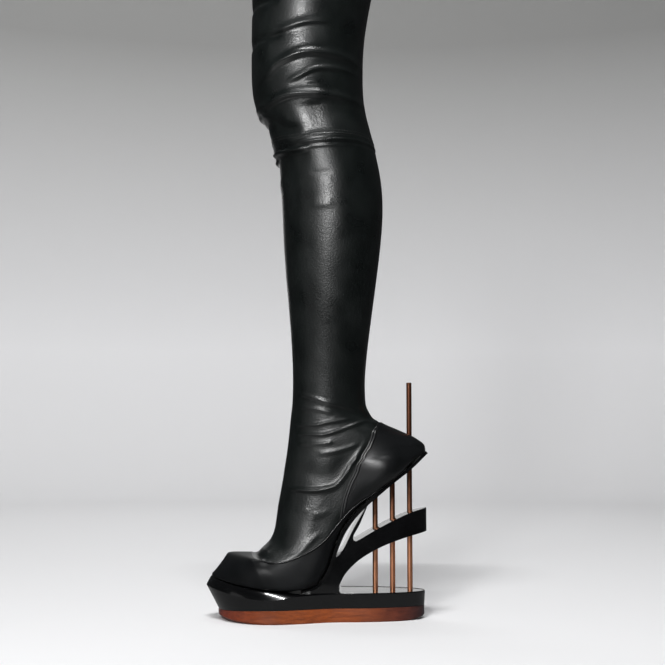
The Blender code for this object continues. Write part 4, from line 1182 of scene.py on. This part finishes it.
def stitch_nodes():
    """Nodes that lay a row of stitches along a path, at an even pitch, each turned along the path."""
    tree, given, line = path_tree("stitch_row", ("Pitch", "Length", "Thickness"))
    even = add_node(
        tree,
        "GeometryNodeResampleCurve",
        {"Curve": line, "Length": given["Pitch"]},
        mode="LENGTH",
    )
    # The bead is one unit across until it takes the stitch's length and thickness
    bead = add_node(
        tree,
        "GeometryNodeMeshUVSphere",
        {"Segments": STITCH_SIDES, "Rings": STITCH_RINGS, "Radius": 0.5},
    )
    size = add_node(
        tree,
        "ShaderNodeCombineXYZ",
        {"X": given["Length"], "Y": given["Thickness"], "Z": given["Thickness"]},
    )
    stitch = add_node(
        tree,
        "GeometryNodeTransform",
        {"Geometry": bead.outputs["Mesh"], "Scale": size.outputs["Vector"]},
    )
    tangent = tree.nodes.new("GeometryNodeInputTangent").outputs["Tangent"]
    turned = add_node(tree, "FunctionNodeAlignRotationToVector", {"Vector": tangent}, axis="X")
    placed = add_node(
        tree,
        "GeometryNodeInstanceOnPoints",
        {
            "Points": even.outputs["Curve"],
            "Instance": stitch.outputs["Geometry"],
            "Rotation": turned.outputs["Rotation"],
        },
    )
    return end_path_tree(tree, given, placed.outputs["Instances"])


def piping_nodes():
    """Nodes that draw a round piping along a path."""
    tree, given, line = path_tree("piping", ("Radius",))
    ring = add_node(
        tree,
        "GeometryNodeCurvePrimitiveCircle",
        {"Resolution": PIPING_SIDES, "Radius": given["Radius"]},
    )
    tube = add_node(
        tree,
        "GeometryNodeCurveToMesh",
        {"Curve": line, "Profile Curve": ring.outputs["Curve"], "Fill Caps": True},
    )
    return end_path_tree(tree, given, tube.outputs["Mesh"])


def along_paths(name, tree, paths, values):
    """A piece that a node tree makes along open paths of points in millimetres, from named values."""
    points, edges = [], []
    for path in paths:
        start = len(points)
        points += [tuple(point * MM) for point in path]
        edges += [(start + k, start + k + 1) for k in range(len(path) - 1)]
    mesh = bpy.data.meshes.new(name)
    mesh.from_pydata(points, edges, [])
    row = new_object(name, mesh)
    modifier = row.modifiers.new("along path", "NODES")
    modifier.node_group = tree
    for item in tree.interface.items_tree:
        if item.in_out == "INPUT" and item.name in values:
            modifier[item.identifier] = values[item.name]
    return bake_modifiers(row)


def heel_seam_paths():
    """Stitches on the heel panel, just behind its slanting edge, on both sides."""
    positions = np.linspace(HEEL_STITCH_FIRST_ROW, HEEL_STITCH_LAST_ROW, SEAM_PATH_STEPS)
    angles = counter_angle(positions)[:, None] + HEEL_STITCH_TURN
    return [on_overlay(positions, side * angles, COUNTER_THICKNESS)[:, 0] for side in (-1, 1)]


def piping_paths():
    """The shell's folded top edge on both sides. Its ends sink into the shell."""
    first, full_from, full_to, last = PIPING_ROWS
    positions = np.linspace(first, last, PIPING_STEPS)
    angles = np.minimum(FEATHER_ANGLE, topline_angle(positions))[:, None]
    shown = smoothstep(first, full_from, positions) * (1 - smoothstep(full_to, last, positions))
    lift = SHELL_THICKNESS + PIPING_RADIUS * (PIPING_RISE * shown - PIPING_SINK)[:, None]
    return [on_overlay(positions, side * angles, lift)[:, 0] for side in (-1, 1)]


def on_leather(positions, angles, lift):
    """One path of points over the leather, with a position and an angle for each point."""
    return leg_surface(positions, np.asarray(angles)[:, None], lift)[:, 0]


def ring_path(height_at):
    """A closed line round the leg at a height that may change along x."""
    angles = np.linspace(-np.pi, np.pi, RING_PATH_STEPS)
    rows = np.linspace(0.0, LEG_LAST_ROW, HEIGHT_SEARCH_STEPS)
    heights = sections_at(rows).front_z
    positions = np.full(len(angles), float(np.interp(-height_at(0.0), -heights, rows)))
    for _ in range(RING_PATH_ROUNDS):
        x = on_leather(positions, angles, 0.0)[:, 0]
        positions = np.interp(-height_at(x), -heights, rows)
    plain = on_leather(positions, angles, 0.0)
    outwards = on_leather(positions, angles, 1.0) - plain
    return plain + outwards * (leather_height(plain) + THREAD_LIFT)[:, None]


def knee_seam_paths():
    """Two rows of stitches round the leg, just over the knee seam."""
    return [ring_path(lambda x, rise=rise: knee_seam_line(x) + rise) for rise in KNEE_STITCH_RISES]


def collar_paths():
    """One level row of stitches under the collar."""
    return [ring_path(lambda x: COLLAR_STITCH_HEIGHT + 0 * np.asarray(x))]


# Materials


def new_group(name, inputs, outputs):
    """A shader node group with named inputs and outputs: the coordinates come first, the rest are numbers."""
    tree = bpy.data.node_groups.new(name, "ShaderNodeTree")
    tree.interface.new_socket("Vector", in_out="INPUT", socket_type="NodeSocketVector")
    for label in inputs:
        tree.interface.new_socket(label, in_out="INPUT", socket_type="NodeSocketFloat")
    for label in outputs:
        tree.interface.new_socket(label, in_out="OUTPUT", socket_type="NodeSocketFloat")
    return tree, tree.nodes.new("NodeGroupInput").outputs, tree.nodes.new("NodeGroupOutput").inputs


def leather_grain_group():
    """Leather grain: rounded pores with finer wrinkles between, and a broad mottle."""
    tree, given, result = new_group("leather_grain", ("Pores", "Wrinkles", "Mottle"), ("Height", "Mottle"))
    pores = add_node(
        tree,
        "ShaderNodeTexVoronoi",
        {"Vector": given["Vector"], "Scale": given["Pores"], "Smoothness": 0.4},
        feature="SMOOTH_F1",
    )
    wrinkles = add_node(
        tree,
        "ShaderNodeTexNoise",
        {"Vector": given["Vector"], "Scale": given["Wrinkles"], "Detail": 5.0, "Roughness": 0.65},
    )
    height = add_node(
        tree,
        "ShaderNodeMath",
        {0: pores.outputs["Distance"], 1: PORE_SHARE, 2: wrinkles.outputs["Fac"]},
        operation="MULTIPLY_ADD",
    )
    broad = add_node(
        tree,
        "ShaderNodeTexNoise",
        {"Vector": given["Vector"], "Scale": given["Mottle"], "Detail": 1.5},
    )
    mottle = add_node(
        tree,
        "ShaderNodeMapRange",
        {"Value": broad.outputs["Fac"], "From Min": 0.32, "From Max": 0.68},
    )
    tree.links.new(height.outputs["Value"], result["Height"])
    tree.links.new(mottle.outputs["Result"], result["Mottle"])
    return tree


def handling_group():
    """Marks of use on a smooth finish: broad smudges, and fine scratches along one way."""
    tree, given, result = new_group("handling_marks", ("Smudges", "Scratches"), ("Smudge", "Scratch"))
    broad = add_node(
        tree,
        "ShaderNodeTexNoise",
        {"Vector": given["Vector"], "Scale": given["Smudges"], "Detail": 3.0, "Distortion": 0.6},
    )
    smudge = add_node(
        tree,
        "ShaderNodeMapRange",
        {"Value": broad.outputs["Fac"], "From Min": 0.35, "From Max": 0.7},
    )
    stretched = add_node(tree, "ShaderNodeMapping", {"Vector": given["Vector"], "Scale": (1.0, 14.0, 14.0)})
    lines = add_node(
        tree,
        "ShaderNodeTexNoise",
        {"Vector": stretched.outputs["Vector"], "Scale": given["Scratches"], "Detail": 6.0, "Roughness": 0.7},
    )
    tree.links.new(smudge.outputs["Result"], result["Smudge"])
    tree.links.new(lines.outputs["Fac"], result["Scratch"])
    return tree


def new_material(name):
    """A material, its node tree, its shader and the object's own coordinates."""
    material = bpy.data.materials.new(name)
    material.use_nodes = True
    tree = material.node_tree
    place = tree.nodes.new("ShaderNodeTexCoord").outputs["Object"]
    return material, tree, tree.nodes["Principled BSDF"], place


def colour_stops(tree, factor, stops):
    """A colour that follows a factor through stops of a position and a colour."""
    ramp = add_node(tree, "ShaderNodeValToRGB", {"Fac": factor})
    elements = ramp.color_ramp.elements
    for element, (position, colour) in zip(elements, (stops[0], stops[-1])):
        element.position = position
        element.color = (*colour, 1.0)
    for position, colour in stops[1:-1]:
        elements.new(position).color = (*colour, 1.0)
    return ramp.outputs["Color"]


def link_colour(tree, shader, factor, tones):
    """Base colour that goes from the first of two tones to the second."""
    first, second = tones
    colour = colour_stops(tree, factor, [(0.0, first), (1.0, second)])
    tree.links.new(colour, shader.inputs["Base Color"])


def link_roughness(tree, shader, value, low, high):
    """Roughness that follows a value, between a low and a high end."""
    span = add_node(tree, "ShaderNodeMapRange", {"Value": value, "To Min": low, "To Max": high})
    tree.links.new(span.outputs["Result"], shader.inputs["Roughness"])


def link_bump(tree, shader, height, strength, distance):
    """Fine relief from a height."""
    values = {"Height": height, "Strength": strength, "Distance": distance * MM}
    bump = add_node(tree, "ShaderNodeBump", values)
    tree.links.new(bump.outputs["Normal"], shader.inputs["Normal"])


def axis_share(tree, place, axis, low, high):
    """Goes from 0 to 1 between two places along an axis, in metres."""
    split = add_node(tree, "ShaderNodeSeparateXYZ", {"Vector": place})
    values = {"Value": split.outputs[axis], "From Min": low, "From Max": high}
    return add_node(tree, "ShaderNodeMapRange", values).outputs["Result"]


def leather_material(leather, grain):
    """One of the leathers in the table."""
    material, tree, shader, place = new_material(leather.name)
    values = {
        "Vector": place,
        "Pores": leather.pores,
        "Wrinkles": WRINKLES_PER_PORE * leather.pores,
        "Mottle": MOTTLE_PER_METRE,
    }
    texture = add_node(tree, "ShaderNodeGroup", values, node_tree=grain).outputs
    link_colour(tree, shader, texture["Mottle"], leather.tones)
    link_roughness(tree, shader, texture["Mottle"], *leather.gloss)
    link_bump(tree, shader, texture["Height"], leather.relief, GRAIN_DEPTH)
    shader.inputs["Specular IOR Level"].default_value = leather.specular
    return material


def marked_material(name, marks, smudges, scratches):
    """A material with handling marks, by their scales: also its coordinates and the outputs of the marks."""
    material, tree, shader, place = new_material(name)
    values = {"Vector": place, "Smudges": smudges, "Scratches": scratches}
    texture = add_node(tree, "ShaderNodeGroup", values, node_tree=marks)
    return material, tree, shader, place, texture.outputs


def lining_material():
    """Dark knitted lining."""
    material, tree, shader, place = new_material("leg_lining")
    values = {"Vector": place, "Scale": 220.0, "Distortion": 0.4}
    rows = add_node(tree, "ShaderNodeTexWave", values, bands_direction="Z").outputs["Fac"]
    link_colour(tree, shader, rows, LINING_TONES)
    link_bump(tree, shader, rows, strength=0.4, distance=0.3)
    shader.inputs["Roughness"].default_value = 0.8
    return material


def lacquer_material(name, marks, gloss, coat):
    """Black lacquer with soft handling marks."""
    material, tree, shader, _, texture = marked_material(name, marks, smudges=30.0, scratches=90.0)
    link_colour(tree, shader, texture["Smudge"], LACQUER_TONES)
    link_roughness(tree, shader, texture["Smudge"], *gloss)
    link_bump(tree, shader, texture["Scratch"], strength=0.03, distance=0.2)
    shader.inputs["Coat Weight"].default_value = coat
    shader.inputs["Coat Roughness"].default_value = 0.04
    return material


def wood_material(marks):
    """Polished reddish wood: long grain, warm in the middle, with shade painted dark at the heel end."""
    made = marked_material("sole_wood_grain", marks, smudges=45.0, scratches=26.0)
    material, tree, shader, place, texture = made
    # Painted shade: the tone darkens towards the heel end
    tone = colour_stops(tree, axis_share(tree, place, "X", *WOOD_ENDS), WOOD_STOPS_WITH_PAINTED_SHADE)
    streak = colour_stops(tree, texture["Scratch"], STREAK_STOPS)
    # The mix node's colours have the numbers 6 and 7, and its result 2
    mixed = add_node(
        tree,
        "ShaderNodeMix",
        {0: STREAK_SHARE, 6: tone, 7: streak},
        data_type="RGBA",
        blend_type="MULTIPLY",
    )
    tree.links.new(mixed.outputs[2], shader.inputs["Base Color"])
    link_roughness(tree, shader, texture["Smudge"], low=0.28, high=0.5)
    link_bump(tree, shader, texture["Scratch"], strength=0.12, distance=0.3)
    return material


def copper_material(marks):
    """Copper gone brown in places, with a painted reflection: bright low on the rod and brown towards its
    upper end.
    """
    made = marked_material("copper_tarnish_and_painted_reflection", marks, smudges=60.0, scratches=160.0)
    material, tree, shader, place, texture = made
    # Painted reflection of the floor: brighter low down and darker higher up, with the real smudges added on
    # top
    up = axis_share(tree, place, "Z", COPPER_PAINTED_REFLECTION_FADE_FROM, COPPER_PAINTED_REFLECTION_FADE_TO)
    values = {0: texture["Smudge"], 1: COPPER_SMUDGE_SHARE, 2: up}
    tarnish_and_painted_reflection = add_node(tree, "ShaderNodeMath", values, operation="MULTIPLY_ADD")
    link_colour(tree, shader, tarnish_and_painted_reflection.outputs["Value"], COPPER_TONES)
    link_roughness(tree, shader, texture["Scratch"], low=0.2, high=0.42)
    link_bump(tree, shader, texture["Scratch"], strength=0.06, distance=0.1)
    shader.inputs["Metallic"].default_value = 0.9
    return material


def thread_material():
    """Black waxed thread."""
    material, tree, shader, place = new_material("waxed_thread")
    values = {"Vector": place, "Scale": 1800.0, "Detail": 2.0}
    twist = add_node(tree, "ShaderNodeTexNoise", values).outputs["Fac"]
    link_colour(tree, shader, twist, THREAD_TONES)
    link_bump(tree, shader, twist, strength=0.3, distance=0.1)
    shader.inputs["Roughness"].default_value = 0.5
    return material


# Stage, lights and camera


def sweep_material():
    """Matt pale finish of the sweep, with shade painted darker up the wall."""
    material, tree, shader, place = new_material("pale_sweep")
    # Painted shade: darker higher up the wall
    up = axis_share(tree, place, "Z", SWEEP_PAINTED_SHADE_FROM, SWEEP_PAINTED_SHADE_TO)
    link_colour(tree, shader, up, SWEEP_TONE_AND_PAINTED_SHADE)
    shader.inputs["Roughness"].default_value = 0.9
    shader.inputs["Specular IOR Level"].default_value = 0.0
    return material


def make_stage():
    """A pale round sweep of floor, cove and wall, which isn't mirrored in the boot's gloss."""
    profile = [(0.0, 0.0), (SWEEP_RADIUS - COVE_RADIUS, 0.0)]
    for rise in np.linspace(0.0, np.pi / 2, COVE_STEPS + 1)[1:]:
        radius = SWEEP_RADIUS - COVE_RADIUS * (1 - math.sin(rise))
        profile.append((radius, COVE_RADIUS * (1 - math.cos(rise))))
    profile.append((SWEEP_RADIUS, SWEEP_HEIGHT))
    turns = np.radians(np.linspace(0.0, 360.0, SWEEP_STEPS + 1))
    points = []
    for turn in turns:
        points += [(radius * math.cos(turn), radius * math.sin(turn), z) for radius, z in profile]
    mesh = bpy.data.meshes.new("sweep")
    mesh.from_pydata(points, [], sheet_faces(0, len(turns), len(profile)))
    mesh.shade_smooth()
    mesh.materials.append(sweep_material())
    sweep = new_object("sweep", mesh)
    sweep.visible_glossy = False


def light_studio():
    """The soft rectangular lights and cards of the table, each turned to its target, in a dim room."""
    for row in LIGHTS:
        light = bpy.data.lights.new(row.name, "AREA")
        light.shape = "RECTANGLE"
        light.size, light.size_y = row.size
        light.energy = row.power
        lamp = new_object(row.name, light)
        lamp.location = row.place
        lamp.rotation_euler = (Vector(row.target) - Vector(row.place)).to_track_quat("-Z", "Y").to_euler()
        lamp.visible_camera = False
        lamp.visible_diffuse = row.lights
        lamp.visible_glossy = row.mirrored
    world = bpy.data.worlds.new("dim_room")
    world.use_nodes = True
    background = world.node_tree.nodes["Background"]
    background.inputs["Color"].default_value = ROOM_COLOUR
    background.inputs["Strength"].default_value = ROOM_STRENGTH
    bpy.context.scene.world = world
    bpy.context.scene.view_settings.view_transform = "Standard"


def add_camera():
    """The camera, low beside the outer side of the boot and tilted up a little."""
    camera = new_object("camera", bpy.data.cameras.new("camera"))
    camera.data.sensor_width = SENSOR_WIDTH
    camera.data.lens = SENSOR_WIDTH * FOCAL_LENGTH_PIXELS / PHOTO_WIDTH_PIXELS
    camera.location = CAMERA_PLACE
    camera.rotation_euler = (CAMERA_TILT, 0.0, 0.0)
    bpy.context.scene.camera = camera


# The boot


def dress(piece, slot, *nodes):
    """Fixes a piece to the boot's body, in the place of the solids that it stands for."""
    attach(piece, "root")
    if nodes:
        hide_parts(*nodes)


def dress_leather(leathers):
    """The leg, the shell and the heel panel."""
    dress(make_leg(leathers["stretch_leather_grain"], lining_material()), "stretch_leather", "upper")
    dress(make_toe_shell(leathers["toe_shell_grain"]), "shell_leather", "vamp_shell")
    dress(make_heel_panel(leathers["heel_panel_grain"]), "shell_leather", "heel_counter")


def dress_sole_unit():
    """The platform, the sole plate, the shank and the rods."""
    marks = handling_group()
    deep_lacquer = lacquer_material("deep_lacquer", marks, gloss=(0.10, 0.20), coat=0.6)
    shank_gloss = lacquer_material("shank_gloss", marks, gloss=(0.12, 0.22), coat=0.5)
    dress(make_platform(deep_lacquer), "black_lacquer", "platform")
    dress(make_sole_plate(wood_material(marks)), "sole_wood", "outsole")
    dress(make_shank(shank_gloss), "sole_lacquer", "shank")
    for node, rod in make_rods(copper_material(marks)).items():
        dress(rod, "copper", node)


def dress_seams(leathers):
    """The rows of stitches, and the piping along the shell's top edge."""
    stitches = stitch_nodes()
    sizes = {
        "Pitch": STITCH_PITCH * MM,
        "Length": STITCH_LENGTH * MM,
        "Thickness": THREAD_THICKNESS * MM,
        "Material": thread_material(),
    }
    dress(along_paths("heel_seam_stitches", stitches, heel_seam_paths(), sizes), "shell_leather")
    dress(along_paths("knee_seam_stitches", stitches, knee_seam_paths(), sizes), "stretch_leather")
    dress(along_paths("collar_stitches", stitches, collar_paths(), sizes), "stretch_leather")
    edge = {"Radius": PIPING_RADIUS * MM, "Material": leathers["bound_edge_grain"]}
    dress(along_paths("topline_piping", piping_nodes(), piping_paths(), edge), "shell_leather")


def main():
    """Dresses the frame piece by piece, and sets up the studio."""
    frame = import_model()

    grain = leather_grain_group()
    leathers = {leather.name: leather_material(leather, grain) for leather in LEATHERS}
    dress_leather(leathers)
    dress_sole_unit()
    dress_seams(leathers)
    insole = frame["nodes"]["insole"]
    insole.data.materials.clear()
    insole.data.materials.append(leathers["insole_leather_grain"])

    make_stage()
    light_studio()
    add_camera()


main()
